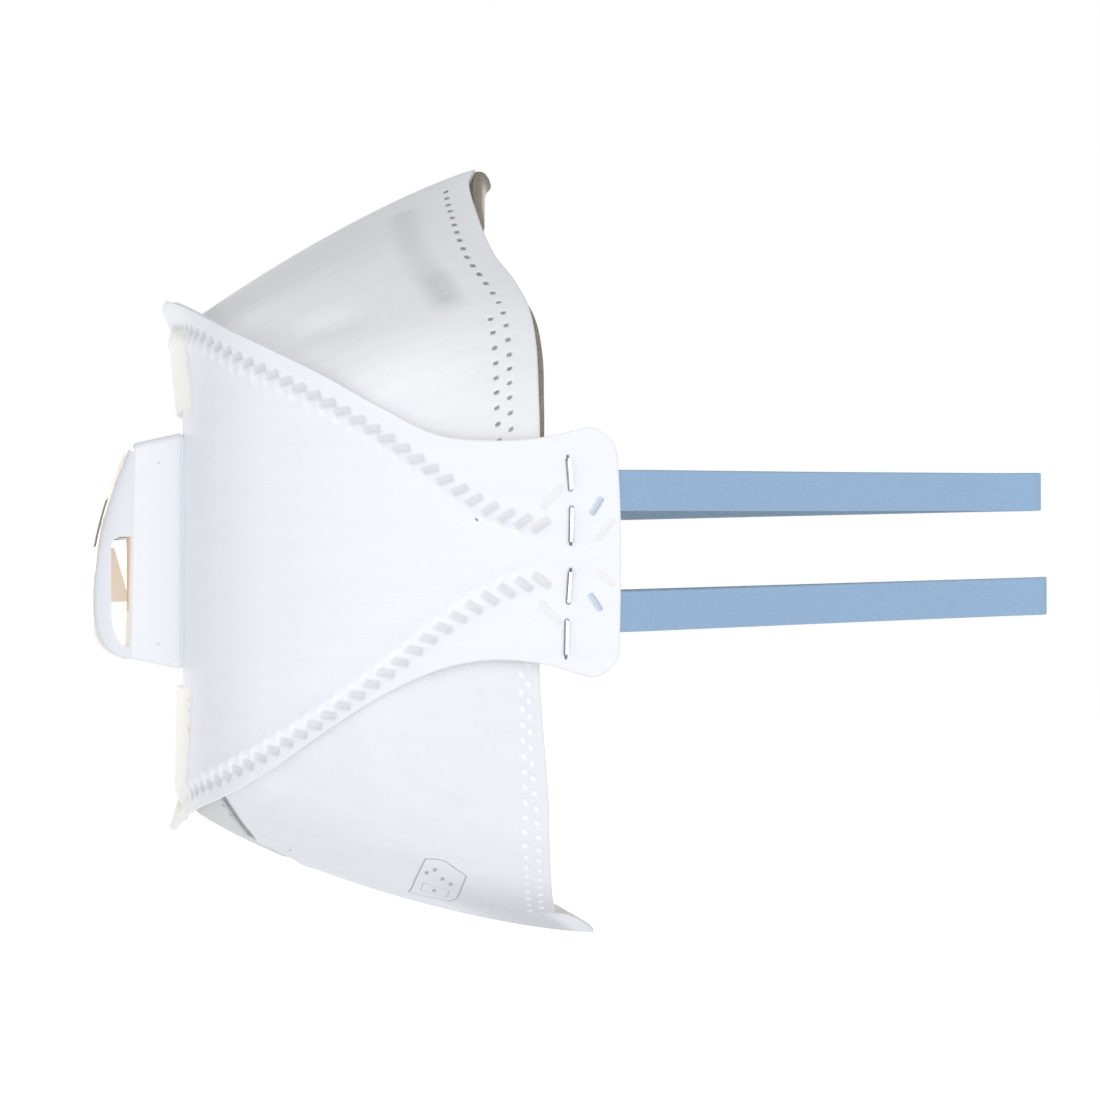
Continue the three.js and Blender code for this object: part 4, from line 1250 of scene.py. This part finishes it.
def foam_points(columns, round_steps):
    """Rings of points round the foam's section, from one end to the other."""
    u = np.linspace(-FOAM_SPAN, FOAM_SPAN, columns + 1)
    t = np.abs(u) / FOAM_SPAN
    size = {k: follow(FOAM_ROWS, k, t)[:, None] for k in ("border", "proud", "depth")}
    turn = np.linspace(0, 2 * math.pi, round_steps, endpoint=False)[None, :]
    # The section is a round cornered box, and its powers say how square it is.
    wide = np.sign(np.cos(turn)) * np.abs(np.cos(turn)) ** 0.55
    deep = np.sign(np.sin(turn)) * np.abs(np.sin(turn)) ** 0.7
    share = 0.5 + 0.5 * wide
    taper = np.sqrt(np.clip(1 - ((t[:, None] - 0.97) / 0.03).clip(0, 1) ** 2, 0.05, 1))
    reach = -size["border"] + (size["border"] + size["proud"]) * share
    # At the nose the foam swells round the cloth's cut edge, nearly flush with its outer face.
    rise = (FOAM_SEAT - 0.1) * steps_between(-0.6, -0.1, reach) * steps_between(0.3, 0.15, t[:, None])
    depth = FOAM_SEAT + size["depth"] * taper * (0.5 + 0.5 * deep) - rise * (0.5 - 0.5 * deep)
    across = np.broadcast_to(u[:, None], reach.shape)
    chord = panel_point(UPPER, u, 0 * u) - panel_point(UPPER, u, 0 * u + 1)
    v = 1 + reach / np.linalg.norm(chord, axis=-1)[:, None]
    # The painted highlight lies on the rim's outer half, on either side of the nose's middle.
    foam_highlight = steps_between(0.6, 0.9, share) * steps_between(-0.6, 0.2, deep)
    foam_highlight = foam_highlight * steps_between(0.24, 0.14, t[:, None]) * steps_between(0.03, 0.08, t[:, None])
    return under_panel(UPPER, across, v, depth), foam_highlight

# %% Closed strip through rings
def closed_strip(name, rings, foam_highlight, material):
    """A closed body through rings of points, with a flat cap at either end."""
    corners = np.arange(rings.shape[0] * rings.shape[1]).reshape(rings.shape[:2])
    beside = np.roll(corners, -1, axis=1)
    sides = np.stack([corners[:-1], beside[:-1], beside[1:], corners[1:]], axis=-1)
    caps = [corners[0].tolist(), corners[-1, ::-1].tolist()]
    mesh = bpy.data.meshes.new(name)
    mesh.from_pydata((rings.reshape(-1, 3) * MM).tolist(), [], sides.reshape(-1, 4).tolist() + caps)
    strip = bpy.data.objects.new(name, mesh)
    scene.collection.objects.link(strip)
    mesh.materials.append(material)
    attribute = mesh.attributes.new("foam_highlight", "FLOAT", "POINT")
    attribute.data.foreach_set("value", foam_highlight.ravel().astype(np.float32))
    select_only(strip)
    bpy.ops.object.mode_set(mode="EDIT")
    bpy.ops.mesh.select_all(action="SELECT")
    bpy.ops.mesh.normals_make_consistent(inside=False)
    bpy.ops.object.mode_set(mode="OBJECT")
    bpy.ops.object.shade_smooth_by_angle(angle=math.radians(50))
    return strip

# %% Foam strip
FOAM_CELL = 0.6
FOAM_CLOUD = 3


def open_cell_foam():
    """Polyurethane foam: a taupe mass of small open cells that swallows light."""
    material, tree = principled("polyurethane_foam", Roughness=0.95)
    place = add_node(tree, "TexCoord").outputs["Object"]
    cells = add_node(
        tree, "TexVoronoi", {"Vector": place, "Scale": 1 / (FOAM_CELL * MM)}
    ).outputs["Distance"]
    clouds = add_node(
        tree, "TexNoise", {"Vector": place, "Scale": 1 / (FOAM_CLOUD * MM), "Detail": 3.0}
    ).outputs["Fac"]
    # A pale cream painted highlight lies on the rim's outer half at the nose, where it catches the light.
    cut = add_node(tree, "Attribute", attribute_name="foam_highlight").outputs["Fac"]
    colour = layered(tree, "#6F655E", (cells, "#A39A90"), (clouds, "#8F867C"), (cut, "#E2DACB"))
    return coat(material, colour, cells, depth=0.2)


foam = closed_strip("foam_strip", *foam_points(FOAM_COLUMNS, FOAM_SIDES), open_cell_foam())
settle(foam, "nose_foam")
print("foam strip:", len(foam.data.polygons), "faces")

# %% [markdown]
# ## Head straps
# Each strap is a loop of flat elastic, woven from fine covered rubber threads. It runs from inside
# one tab round the back of the head to the other tab, and stands on its edge. A curve with a flat
# profile would turn its edge over at the tight bend, so the strap is a sheet from a grid, as the
# panels are, whose short side always stays upright.

# %% Route of a strap
STRAP_WIDTH = 6.35
STRAP_THICKNESS = 1.0
STRAP_START_X = -7.0
STRAP_TURN = 2.2
STRAP_STEP = 0.8
STRAP_ROUND = 0.22
STRAP_Y = HALF_WIDTH - CENTRE_WALL - GAP - STRAP_THICKNESS / 2
STRAP_PLAN = [(8, 50.0), (16, 44), (40, 26), (62, 12)]
STRAPS = {
    # name: (height at the tab, height at the back, x at the back)
    "upper": (8.7, 9.9, 83.4),
    "lower": (-10.1, -7.6, 84.4),
}


def strap_route(tab_z, back_z, back_x):
    """Middle line of a strap."""
    turn_x = back_x - STRAP_THICKNESS / 2 - STRAP_TURN
    diagonal = STRAP_TURN * math.sqrt(0.5)
    plan = [
        (STRAP_START_X, STRAP_Y),
        (STRAP_START_X / 2, STRAP_Y),
        (TAB_X - STRAP_THICKNESS, STRAP_Y),
        *STRAP_PLAN,
        (turn_x - 3 * STRAP_TURN, 2 * STRAP_TURN),
        (turn_x, STRAP_TURN),
        (turn_x + diagonal, diagonal),
    ]
    half = [(back_x - STRAP_THICKNESS / 2, 0, back_z)]
    for x, y in reversed(plan):
        share = np.clip((x - TAB_X) / (back_x - TAB_X), 0, 1)
        half.append((x, y, tab_z + (back_z - tab_z) * share))
    return smooth_route(mirrored(half))

# %% Material of the straps
RIB_SIZE = 0.12  # the bands of a Wave texture of this size lie about 0.24 mm apart
YARN_CLOUD = 0.7


def elastic(name, dull, pale):
    """Woven elastic: light blue, with fine ribs along it where the rubber threads lie."""
    material, tree = principled(name, Roughness=0.75, Sheen_Weight=0.1)
    strap_map = add_node(tree, "UVMap", uv_map="cloth").outputs["UV"]
    ribs = add_node(
        tree,
        "TexWave",
        {"Vector": strap_map, "Scale": 1 / (2 * math.pi * RIB_SIZE * MM), "Distortion": 0.6},
        bands_direction="Y",
    ).outputs["Fac"]
    grain = add_node(
        tree, "TexNoise", {"Vector": strap_map, "Scale": 1 / (YARN_CLOUD * MM), "Detail": 4.0}
    ).outputs["Fac"]
    ribbed = layered(tree, "#7C9ABB", (ribs, "#A9C4E0"))
    return coat(material, layered(tree, dull, (grain, pale), (0.15, ribbed)), ribs, depth=0.05, strength=0.4)


elastic_outside = elastic("woven_elastic", "#86A6C6", "#98B6D6")
# The inner face is a greyer copy: painted shade for the far half of each loop, in the near half's shadow.
elastic_inside_shaded = elastic("woven_elastic_inside", "#849FB5", "#96AEC4")

# %% Head straps
def soften(piece, width, angle=35):
    """Rounds those edges of a piece that turn by more than an angle."""
    select_only(piece)
    bevel = piece.modifiers.new("soft_edges", "BEVEL")
    bevel.width = width * MM
    bevel.segments = 3
    bevel.limit_method = "ANGLE"
    bevel.angle_limit = math.radians(angle)
    bpy.ops.object.modifier_apply(modifier="soft_edges")


def strap_sheet(sizes):
    """Points, thickness and map of a strap, which has no marks."""
    route = strap_route(*sizes)
    length = lengths_along(route)[-1]
    distance = np.linspace(0, length, round(length / STRAP_STEP) + 1)
    middle = point_along(route, distance)
    ahead = np.gradient(middle, axis=0) * (1, 1, 0)
    ahead /= np.linalg.norm(ahead, axis=1, keepdims=True)
    outward = np.stack([ahead[:, 1], -ahead[:, 0], 0 * ahead[:, 0]], axis=1)
    up = np.linspace(-0.5, 0.5, 13) * STRAP_WIDTH
    points = middle[:, None, :] + up[None, :, None] * np.array([0, 0, 1])
    points = points + outward[:, None, :] * STRAP_THICKNESS / 2
    maps = [np.broadcast_to(part, points.shape[:2]) for part in (distance[:, None], up)]
    return points, STRAP_THICKNESS, maps, {}


for name, sizes in STRAPS.items():
    sides = [elastic_outside, elastic_inside_shaded]
    strap = make_sheet(name + "_elastic", *strap_sheet(sizes), STRAP_THICKNESS, sides)
    give_wall(strap, STRAP_THICKNESS, (0, 1, 0))
    soften(strap, STRAP_ROUND, angle=60)
    settle(strap, name + "_head_strap")

# %% [markdown]
# ## Valve body
# The exhalation valve is moulded from white polypropylene in two shells. The body is a shallow
# tapered box with round edges, clamped to the cloth round a square port that a cross of ribs
# divides. It starts as a cube, which is tapered, bevelled and opened with cutters. A few small
# helpers come first: they add a box at its place, select points, edges or faces by where they are,
# slice or lean a piece, and cut it with another.

# %% Helpers for hard pieces
def add_box(name, low, high):
    """A cube stretched between two corners in millimetres, with its place in its mesh."""
    select_only()
    centre = [(a + b) / 2 * MM for a, b in zip(low, high)]
    size = [(b - a) * MM for a, b in zip(low, high)]
    bpy.ops.mesh.primitive_cube_add(size=1, location=centre, scale=size)
    bpy.ops.object.transform_apply(location=True, rotation=True, scale=True)
    made = bpy.context.object
    made.name = name
    return made


def select_where(piece, kind="FACE", test=lambda x, y, z: True):
    """Enters edit mode with those elements selected, all of whose points (mm) pass a test."""
    select_only(piece)
    mesh = piece.data
    bpy.ops.object.mode_set(mode="EDIT")
    bpy.ops.mesh.select_mode(type=kind)
    bpy.ops.mesh.select_all(action="DESELECT")
    bpy.ops.object.mode_set(mode="OBJECT")
    passed = np.array([bool(test(*(v.co / MM))) for v in mesh.vertices])
    if kind == "VERT":
        mesh.vertices.foreach_set("select", passed)
    else:
        for element in mesh.edges if kind == "EDGE" else mesh.polygons:
            element.select = all(passed[list(element.vertices)])
    bpy.ops.object.mode_set(mode="EDIT")


def slice_across(piece, axis, at):
    """Cuts new edges right round a piece, square to an axis (0 to 2), at a place on it."""
    select_where(piece)
    normal = [float(k == axis) for k in range(3)]
    bpy.ops.mesh.bisect(plane_co=[at * MM * n for n in normal], plane_no=normal)


def lean_over(piece, angle, *place):
    """Turns a whole piece about Y, round a place in millimetres."""
    select_where(piece)
    bpy.ops.transform.rotate(value=angle, orient_axis="Y", center_override=[c * MM for c in place])
    bpy.ops.object.mode_set(mode="OBJECT")


def combine(piece, tool, operation="DIFFERENCE"):
    """Cuts a tool out of a piece, or joins it on, and deletes the tool."""
    select_only(piece)
    change = piece.modifiers.new("combine", "BOOLEAN")
    change.object = tool
    change.operation = operation
    change.solver = "EXACT"
    bpy.ops.object.modifier_apply(modifier="combine")
    bpy.data.objects.remove(tool)


def shade(piece):
    """Smooth shading that keeps broad faces flat."""
    select_only(piece)
    bpy.ops.object.shade_smooth_by_angle(angle=math.radians(40))
    flat = piece.modifiers.new("broad_faces_flat", "WEIGHTED_NORMAL")
    flat.keep_sharp = True
    bpy.ops.object.modifier_apply(modifier="broad_faces_flat")
    print(piece.name, "has", len(piece.data.polygons), "faces")

# %% Sizes of the valve body
BODY_REAR_X = -61.95
BODY_FRONT_X = -69.85
BODY_LEAN = -0.3
BODY_REAR_HALF = (16.8, 19.0)
BODY_FRONT_HALF = (15.9, 17.3)
BODY_CORNER = 1.1
BODY_LIP = 0.7
SEAT_INSET = 0.25
SEAT_X = -60.5
FLAP_SEAT = (-69.5, 10.05, 9.55)  # x of its floor, and its half width and height
PORT_PANE = 6.5
PORT_RIB = 2.0
CUTTER_OVER = 2  # how far a cutter stands past what it cuts
MOULD_EDGE = 0.12
EJECTOR_PLACES = [(-65.5, 13.7), (-65.5, -15.3)]
EJECTOR_PIT = (0.26, 0.3)  # radius and depth

# %% Steps of the valve body
def taper(body):
    """Draws the front face of the body's box in on all sides, and leans it."""
    place = (BODY_FRONT_X * MM, 0, PORT_Z * MM)
    shrink = [front / rear for front, rear in zip(BODY_FRONT_HALF, BODY_REAR_HALF)]
    select_where(body, "FACE", lambda x, y, z: x < BODY_FRONT_X + 1)
    bpy.ops.transform.resize(value=(1, *shrink), center_override=place)
    bpy.ops.transform.rotate(
        value=BODY_LEAN / BODY_FRONT_HALF[1], orient_axis="Y", center_override=place
    )


def round_body(body):
    """Rounds the body's four long edges, and then the lip round its front."""
    for side_y in (-1, 1):
        for side_z in (-1, 1):
            select_where(body, "EDGE", lambda x, y, z: side_y * y > 0 and side_z * (z - PORT_Z) > 0)
            bpy.ops.mesh.bevel(offset=BODY_CORNER * MM, segments=4, affect="EDGES")
    select_where(body, "FACE", lambda x, y, z: x < BODY_FRONT_X + 1)
    bpy.ops.mesh.region_to_loop()
    bpy.ops.mesh.bevel(offset=BODY_LIP * MM, segments=5, affect="EDGES")


def add_seat(body):
    """Carries the body's back on into the cloth, a little smaller all round."""
    select_where(body, "FACE", lambda x, y, z: x > BODY_REAR_X - 0.1)
    bpy.ops.mesh.inset(thickness=SEAT_INSET * MM)
    back = ((SEAT_X - BODY_REAR_X) * MM, 0, 0)
    bpy.ops.mesh.extrude_region_move(TRANSFORM_OT_translate={"value": back})
    bpy.ops.object.mode_set(mode="OBJECT")


def open_port(body):
    """Cuts the port's four panes, which leaves a cross of ribs, and the hollow for the flap."""
    near, far = PORT_RIB / 2, PORT_RIB / 2 + PORT_PANE
    front, back = BODY_FRONT_X - CUTTER_OVER, SEAT_X + CUTTER_OVER
    for y in ((-far, -near), (near, far)):
        for z in ((PORT_Z - far, PORT_Z - near), (PORT_Z + near, PORT_Z + far)):
            combine(body, add_box("pane", (front, y[0], z[0]), (back, y[1], z[1])))
    floor, wide, high = FLAP_SEAT
    combine(body, add_box("seat", (front, -wide, PORT_Z - high), (floor, wide, PORT_Z + high)))


def mark_ejector(body, x, z, side):
    """The little pit that an ejector pin leaves in a side wall."""
    rear, front = BODY_REAR_HALF[0], BODY_FRONT_HALF[0]
    share = (x - BODY_REAR_X) / (BODY_FRONT_X - BODY_REAR_X)
    wall = rear + (front - rear) * share
    radius, depth = EJECTOR_PIT
    select_only()
    bpy.ops.mesh.primitive_cylinder_add(
        vertices=32,
        radius=radius * MM,
        depth=2 * depth * MM,
        location=(x * MM, side * wall * MM, z * MM),
        rotation=(math.pi / 2, 0, -side * math.atan2(rear - front, BODY_REAR_X - BODY_FRONT_X)),
    )
    bpy.ops.object.transform_apply(location=True, rotation=True, scale=True)
    combine(body, bpy.context.object)

# %% Valve body
half_y, half_z = BODY_REAR_HALF
body = add_box(
    "valve_body", (BODY_FRONT_X, -half_y, PORT_Z - half_z), (BODY_REAR_X, half_y, PORT_Z + half_z)
)
for step in (taper, round_body, add_seat, open_port):
    step(body)
soften(body, MOULD_EDGE)
for x, z in EJECTOR_PLACES:
    for side in (-1, 1):
        mark_ejector(body, x, z, side)
shade(body)

# %% [markdown]
# ## Valve cover
# The cover is one curved band that springs from the top of the body, swells forward and turns under
# at the foot. A tall window in either side lets the breath out, and a wedge inside presses on the
# flap. Its front has a shallow recess, left bare here. Cover, hollow and window are all blocks with
# a curved front: a box is bisected at several heights, and each level is stretched forward to the
# curve. Bisecting it lengthways as well lets its sides draw in towards the front.

# %% Sizes of the valve cover
COVER_REAR_X = -69.45
COVER_HALF_WIDTH = 15.6
COVER_WALL = 1.5
COVER_FRONT = [
    (-70.5, 0, 15.8),
    (-73.2, 0, 8.8),
    (-75.2, 0, 1.2),
    (-76.2, 0, -7.8),
    (-75.5, 0, -13.6),
    (-73.6, 0, -16.5),
    (-71.0, 0, -17.8),
]
COVER_SIDE = [
    # share of the way from front to rear, and how far the side is drawn in there
    (0.0, 3.2),
    (0.03, 2.5),
    (0.1, 1.8),
    (0.2, 1.25),
    (0.35, 0.75),
    (0.6, 0.3),
]
HOOD_EDGE = 0.2
WINDOW_X = (-73.0, -69.3)
WINDOW_Z = (-15.9, 1.9)
WINDOW_TOP_ROUND = (1.5, 1.8)
WINDOW_FOOT_ROUND = (2.6, 6.0)
WINDOW_HALF_WIDTH = 20  # past both sides of the cover
WEDGE = {"half": 3.0, "x": (-75.4, -70.15), "z": (-8.6, 0.2), "bend": -7, "lean": 2.1}
RECESS = {"depth": 1.3, "half": 12.2, "height": 8.2, "lean": 0.26, "z": 4.4}
COVER_LINE = smooth_route(COVER_FRONT)[::-1]
print("the cover stands", round(COVER_REAR_X - COVER_LINE[:, 0].min(), 1), "mm proud of the body")

# %% Curves of the valve cover
def cover_front(z):
    """x of the cover's front at a height."""
    return np.interp(z, COVER_LINE[:, 2], COVER_LINE[:, 0])


def cover_inside(z):
    """x of the hollow's front at a height."""
    return min(cover_front(z) + COVER_WALL, COVER_REAR_X - 0.2)


def round_corner(gap, size):
    """How far an oval corner, so wide and so high, cuts in at a distance from its end."""
    wide, high = size
    return wide * (1 - math.sqrt(max(0, 1 - max(0, 1 - gap / high) ** 2)))


def window_front(z):
    """x of the window's front edge at a height."""
    top = round_corner(WINDOW_Z[1] - z, WINDOW_TOP_ROUND)
    foot = round_corner(z - WINDOW_Z[0], WINDOW_FOOT_ROUND)
    return WINDOW_X[0] + min(max(top, foot), WINDOW_X[1] - WINDOW_X[0] - 0.5)

# %% Block with a curved front
def curved_block(name, half_width, rear, foot, top, front, sides=(), count=24):
    """A block from a flat rear to a curved front, with its sides drawn in towards the front."""
    block = add_box(name, (rear - 1, -half_width, foot), (rear, half_width, top))
    for share, inset in sides[1:]:
        slice_across(block, 0, rear - 1 + share)
    for share, inset in sides:
        select_where(block, "VERT", lambda x, y, z: abs(x - rear + 1 - share) < 0.01)
        bpy.ops.transform.resize(value=(1, 1 - inset / half_width, 1), center_override=(0, 0, 0))
    levels = foot + (top - foot) * (1 - np.cos(np.linspace(0, math.pi, count))) / 2
    for level in levels[1:-1]:
        slice_across(block, 2, level)
    for level in levels:
        select_where(block, "VERT", lambda x, y, z: abs(z - level) < 0.01)
        bpy.ops.transform.resize(
            value=(rear - front(level), 1, 1), center_override=(rear * MM, 0, level * MM)
        )
    bpy.ops.object.mode_set(mode="OBJECT")
    return block

# %% Wedge, recess and valve cover
def wedge():
    """The wedge that presses on the flap: it widens downwards and ends square."""
    half, x, z = WEDGE["half"], WEDGE["x"], WEDGE["z"]
    middle = (x[0] + x[1]) / 2
    made = add_box("wedge", (x[0], -half, z[0]), (x[1], half, z[1]))
    slice_across(made, 2, WEDGE["bend"])
    select_where(made, "EDGE", lambda x, y, z: x > middle and z > WEDGE["bend"] + 1)
    bpy.ops.transform.translate(value=(-WEDGE["lean"] * MM, 0, 0))
    bpy.ops.object.mode_set(mode="OBJECT")
    return made


def recess():
    """The shallow bare recess, which leans with the front."""
    x, z = cover_front(RECESS["z"]), RECESS["z"]
    half, depth, high = RECESS["half"], RECESS["depth"], RECESS["height"] / 2
    made = add_box("recess", (x - depth, -half, z - high), (x + depth, half, z + high))
    lean_over(made, -RECESS["lean"], x, 0, z)
    return made


def valve_cover():
    """The hollow band with its windows, wedge and recess."""
    foot, top = COVER_FRONT[-1][2], COVER_FRONT[0][2]
    outside = (COVER_HALF_WIDTH, COVER_REAR_X, foot, top, cover_front, COVER_SIDE)
    hollow = (COVER_HALF_WIDTH - 2 * COVER_WALL, COVER_REAR_X + 1, foot + COVER_WALL, WINDOW_Z[1])
    cover = curved_block("valve_hood", *outside)
    combine(cover, curved_block("hollow", *hollow, cover_inside, count=12))
    combine(cover, curved_block("window", WINDOW_HALF_WIDTH, WINDOW_X[1], *WINDOW_Z, window_front))
    combine(cover, recess())
    combine(cover, wedge(), "UNION")
    return cover


cover = valve_cover()
soften(cover, HOOD_EDGE)
shade(cover)

# %% [markdown]
# ## Valve flap
# A thin square of silicone lies over the port and lifts when the wearer breathes out. The wedge
# holds it down. Only its edge shows, through the windows, so a thin box is enough. It is subdivided
# into small squares, and its edges are rounded.

# %% Valve flap
FLAP_X = (-70.0, -69.5)
FLAP_HALF = (10.0, 9.5)
FLAP_ROUND = 0.15
wide, high = FLAP_HALF
flap = add_box("silicone_flap", (FLAP_X[0], -wide, PORT_Z - high), (FLAP_X[1], wide, PORT_Z + high))
select_where(flap)
bpy.ops.mesh.subdivide(number_cuts=6)
bpy.ops.object.mode_set(mode="OBJECT")
soften(flap, FLAP_ROUND)
shade(flap)

# %% [markdown]
# ## Hard finishes
# Injection moulded polypropylene is satin and slightly translucent: inside the cover the light that
# comes through the thin walls is warm. That light is painted, as a warm tint and a faint glow on the
# faces that look inwards, which is quicker to work out than light scattered in the plastic. The
# recess is painted a dark grey-green, for the shade in it, and the metals are drawn or rolled, which
# leaves streaks. All of them are two close tones that follow a fine noise.

# %% Plastic, silicone and metals
def two_tone(name, tones, grain, detail=2.0, relief=0.0, strength=1.0, stretch=None, **inputs):
    """A material whose two tones follow a noise of so many millimetres, which is its relief too."""
    material, tree = principled(name, **inputs)
    place = add_node(tree, "TexCoord").outputs["Object"]
    if stretch:
        place = add_node(tree, "Mapping", {"Vector": place, "Scale": stretch}).outputs[0]
    noise = add_node(
        tree, "TexNoise", {"Vector": place, "Scale": 1 / (grain * MM), "Detail": detail}
    ).outputs["Fac"]
    return coat(material, layered(tree, tones[0], (noise, tones[1])), relief and noise, relief, strength)


MOULD_GRAIN = 0.3
SILICONE_CLOUD = 2
DRAWN_STREAK = 0.25


def moulded(name, dull, pale, glow=0.0):
    """Polypropylene, injection moulded in a lightly blasted tool: satin with a faint grain."""
    # glow is painted light, for the light that comes through the thin plastic.
    light = {"Emission_Strength": glow, "Emission_Color": linear("#FFFFFF")}
    return two_tone(
        name, (dull, pale), MOULD_GRAIN, 2.0, 0.02, 0.3, Roughness=0.42, IOR=1.49, **light
    )


def rolled_metal(name, dull, bright, roughness):
    """Drawn or rolled metal with fine streaks along Z from its dies."""
    long = (1, 1, 0.15)
    return two_tone(
        name, (dull, bright), DRAWN_STREAK, 3.0, 0.01, 1.0, long, Roughness=roughness, Metallic=1.0
    )

# %% Materials of the valve and the wires
plastic = moulded("moulded_polypropylene", "#EAEDF1", "#EFF2F5")
# seat_plastic: a warm tint and a faint glow, painted light that comes through the cover.
seat_plastic = moulded("moulded_polypropylene_seat", "#EBE5DC", "#F0EAE2", glow=0.26)
# Cast silicone rubber: cream, smooth and a little shiny. The light that comes through it is painted as a
# faint warm glow.
silicone = two_tone(
    "cast_silicone",
    ("#E3D2BB", "#EAD9C4"),
    SILICONE_CLOUD,
    Roughness=0.35,
    Emission_Color=linear("#FFE6C9"),
    Emission_Strength=0.1,
)
steel = rolled_metal("galvanised_steel_wire", "#C4C8CC", "#E4E7EA", 0.28)
COVER_PLASTICS = {
    "outside": moulded("moulded_polypropylene_cover", "#E2E4EA", "#E7E9EF"),
    # inside: a warm tint and a faint glow, painted light that comes through the walls.
    "inside": moulded("moulded_polypropylene_inside", "#E6DBCB", "#EBE1D2", glow=0.165),
    # recess: a dark grey-green, painted shade in the recess.
    "recess": moulded("recess_shade_polypropylene", "#A3A79D", "#ADB1A7"),
    # front: a warmer tone, painted light from the front.
    "front": moulded("moulded_polypropylene_front", "#E0DDD8", "#E5E2DD"),
}
for material in (plastic, seat_plastic):
    body.data.materials.append(material)
for material in COVER_PLASTICS.values():
    cover.data.materials.append(material)
flap.data.materials.append(silicone)
print("plastics:", len(COVER_PLASTICS) + 2)

# %% Which face gets which plastic
FRONT_SHARE = 0.09  # of the cover's depth that is painted with the warm light from the front
SIDE_BAND = 3.6  # how far in from the cover's half width a side wall can lie
OUTWARD = 0.15  # how much of a side wall's normal points out sideways
INSIDE_SHARE = 0.8  # of the wall's thickness, past which a face lies inside
RECESS_DEPTHS = (0.25, COVER_WALL - 0.05)  # how far behind the front the recess's faces lie
WINDOW_OVER = 0.3
FACING_FRONT = -0.998  # normal x of a face that looks straight forward


def cover_look(face):
    """Names the plastic that a face of the cover shows."""
    x, y, z = face.center / MM
    behind = x - cover_front(z)
    in_recess = abs(z - RECESS["z"]) < RECESS["height"] / 2 and abs(y) < RECESS["half"] + 0.1
    if in_recess and RECESS_DEPTHS[0] < behind < RECESS_DEPTHS[1]:
        return "recess"
    side = abs(y) > COVER_HALF_WIDTH - SIDE_BAND and math.copysign(1, y) * face.normal.y > OUTWARD
    level = WINDOW_Z[0] - WINDOW_OVER < z < WINDOW_Z[1] + WINDOW_OVER
    if behind > COVER_WALL * INSIDE_SHARE and level and not side:
        return "inside"
    return "front" if behind < FRONT_SHARE * (COVER_REAR_X - cover_front(z)) else "outside"


looks = list(COVER_PLASTICS)
for face in cover.data.polygons:
    face.material_index = looks.index(cover_look(face))
# The front of the body shows through the windows, and gets the warm painted light too: a tint and a faint
# glow.
for face in body.data.polygons:
    if face.normal.x < FACING_FRONT:
        face.material_index = 1
settle(body, "valve_base")
settle(cover, "valve_cover")
settle(flap, "valve_flap")
clip_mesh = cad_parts["nose_clip"].data
clip_mesh.materials.clear()
clip_mesh.materials.append(rolled_metal("rolled_aluminium", "#B4B8BC", "#D2D5D8", 0.4))
print("faces in the warm light:", sum(cover_look(f) == "inside" for f in cover.data.polygons))

# %% [markdown]
# ## Staples
# Two staples of thin wire hold the straps to each tab. The back of a staple lies inside, over the
# strap, and its legs come out through the tab and are bent towards each other. The wire is flattened
# and its bends are tight, so a staple is made from boxes and not from a round curve: a back, two
# short posts and two legs, joined into one piece and rounded. It is modelled on the left side and
# mirrored for the right one.

# %% Staples
WIRE = (0.52, 0.42)  # width and thickness
WIRE_ROUND = 0.16
BACK_STAND = 0.45  # from the strap's inner face to the middle of the back
LEG_STAND = 0.36  # from the tab's outer face to the middle of a leg
BACK_Y = -(HALF_WIDTH - CENTRE_WALL - GAP - STRAP_THICKNESS) + BACK_STAND
LEG_Y = -(HALF_WIDTH + LEG_STAND)


def wire(start, end, y):
    """A straight wire in a plane of fixed y, from one end to the other, each an x and a z."""
    half, thick = WIRE[0] / 2, WIRE[1] / 2
    x, z = (start[0] + end[0]) / 2, (start[1] + end[1]) / 2
    reach = math.dist(start, end) / 2
    made = add_box("wire", (x - half, y - thick, z - reach), (x + half, y + thick, z + reach))
    lean_over(made, -math.atan2(end[0] - start[0], end[1] - start[1]), x, y, z)
    return made


def make_staple(name, legs):
    """A bent staple of the left side."""
    half = WIRE[0] / 2
    staple = wire(legs[0][0], legs[1][0], BACK_Y)
    staple.name = name
    for outer, inner in legs:
        x, z = outer
        post = add_box("post", (x - half, LEG_Y, z - half), (x + half, BACK_Y, z + half))
        combine(staple, post, "UNION")
        combine(staple, wire(outer, inner, LEG_Y), "UNION")
    soften(staple, WIRE_ROUND)
    return staple


for level, legs in STAPLE_LEGS.items():
    left = make_staple(level + "_left_wire", legs)
    left.data.materials.append(steel)
    right = left.copy()
    right.data = left.data.copy()
    right.name = level + "_right_wire"
    scene.collection.objects.link(right)
    select_where(right)
    bpy.ops.transform.resize(value=(1, -1, 1), center_override=(0, 0, 0))
    bpy.ops.mesh.normals_make_consistent(inside=False)
    bpy.ops.object.mode_set(mode="OBJECT")
    for piece, side in ((left, "left"), (right, "right")):
        shade(piece)
        settle(piece, level + "_" + side + "_staple")

# %% Sizes, and the end of the lesson
visual_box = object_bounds()
sizes = {
    "cad": [list(corner) for corner in cad_box],
    "visual": [list(corner) for corner in visual_box],
}
print("sizes in mm:", {k: [[round(c / MM, 1) for c in p] for p in v] for k, v in sizes.items()})
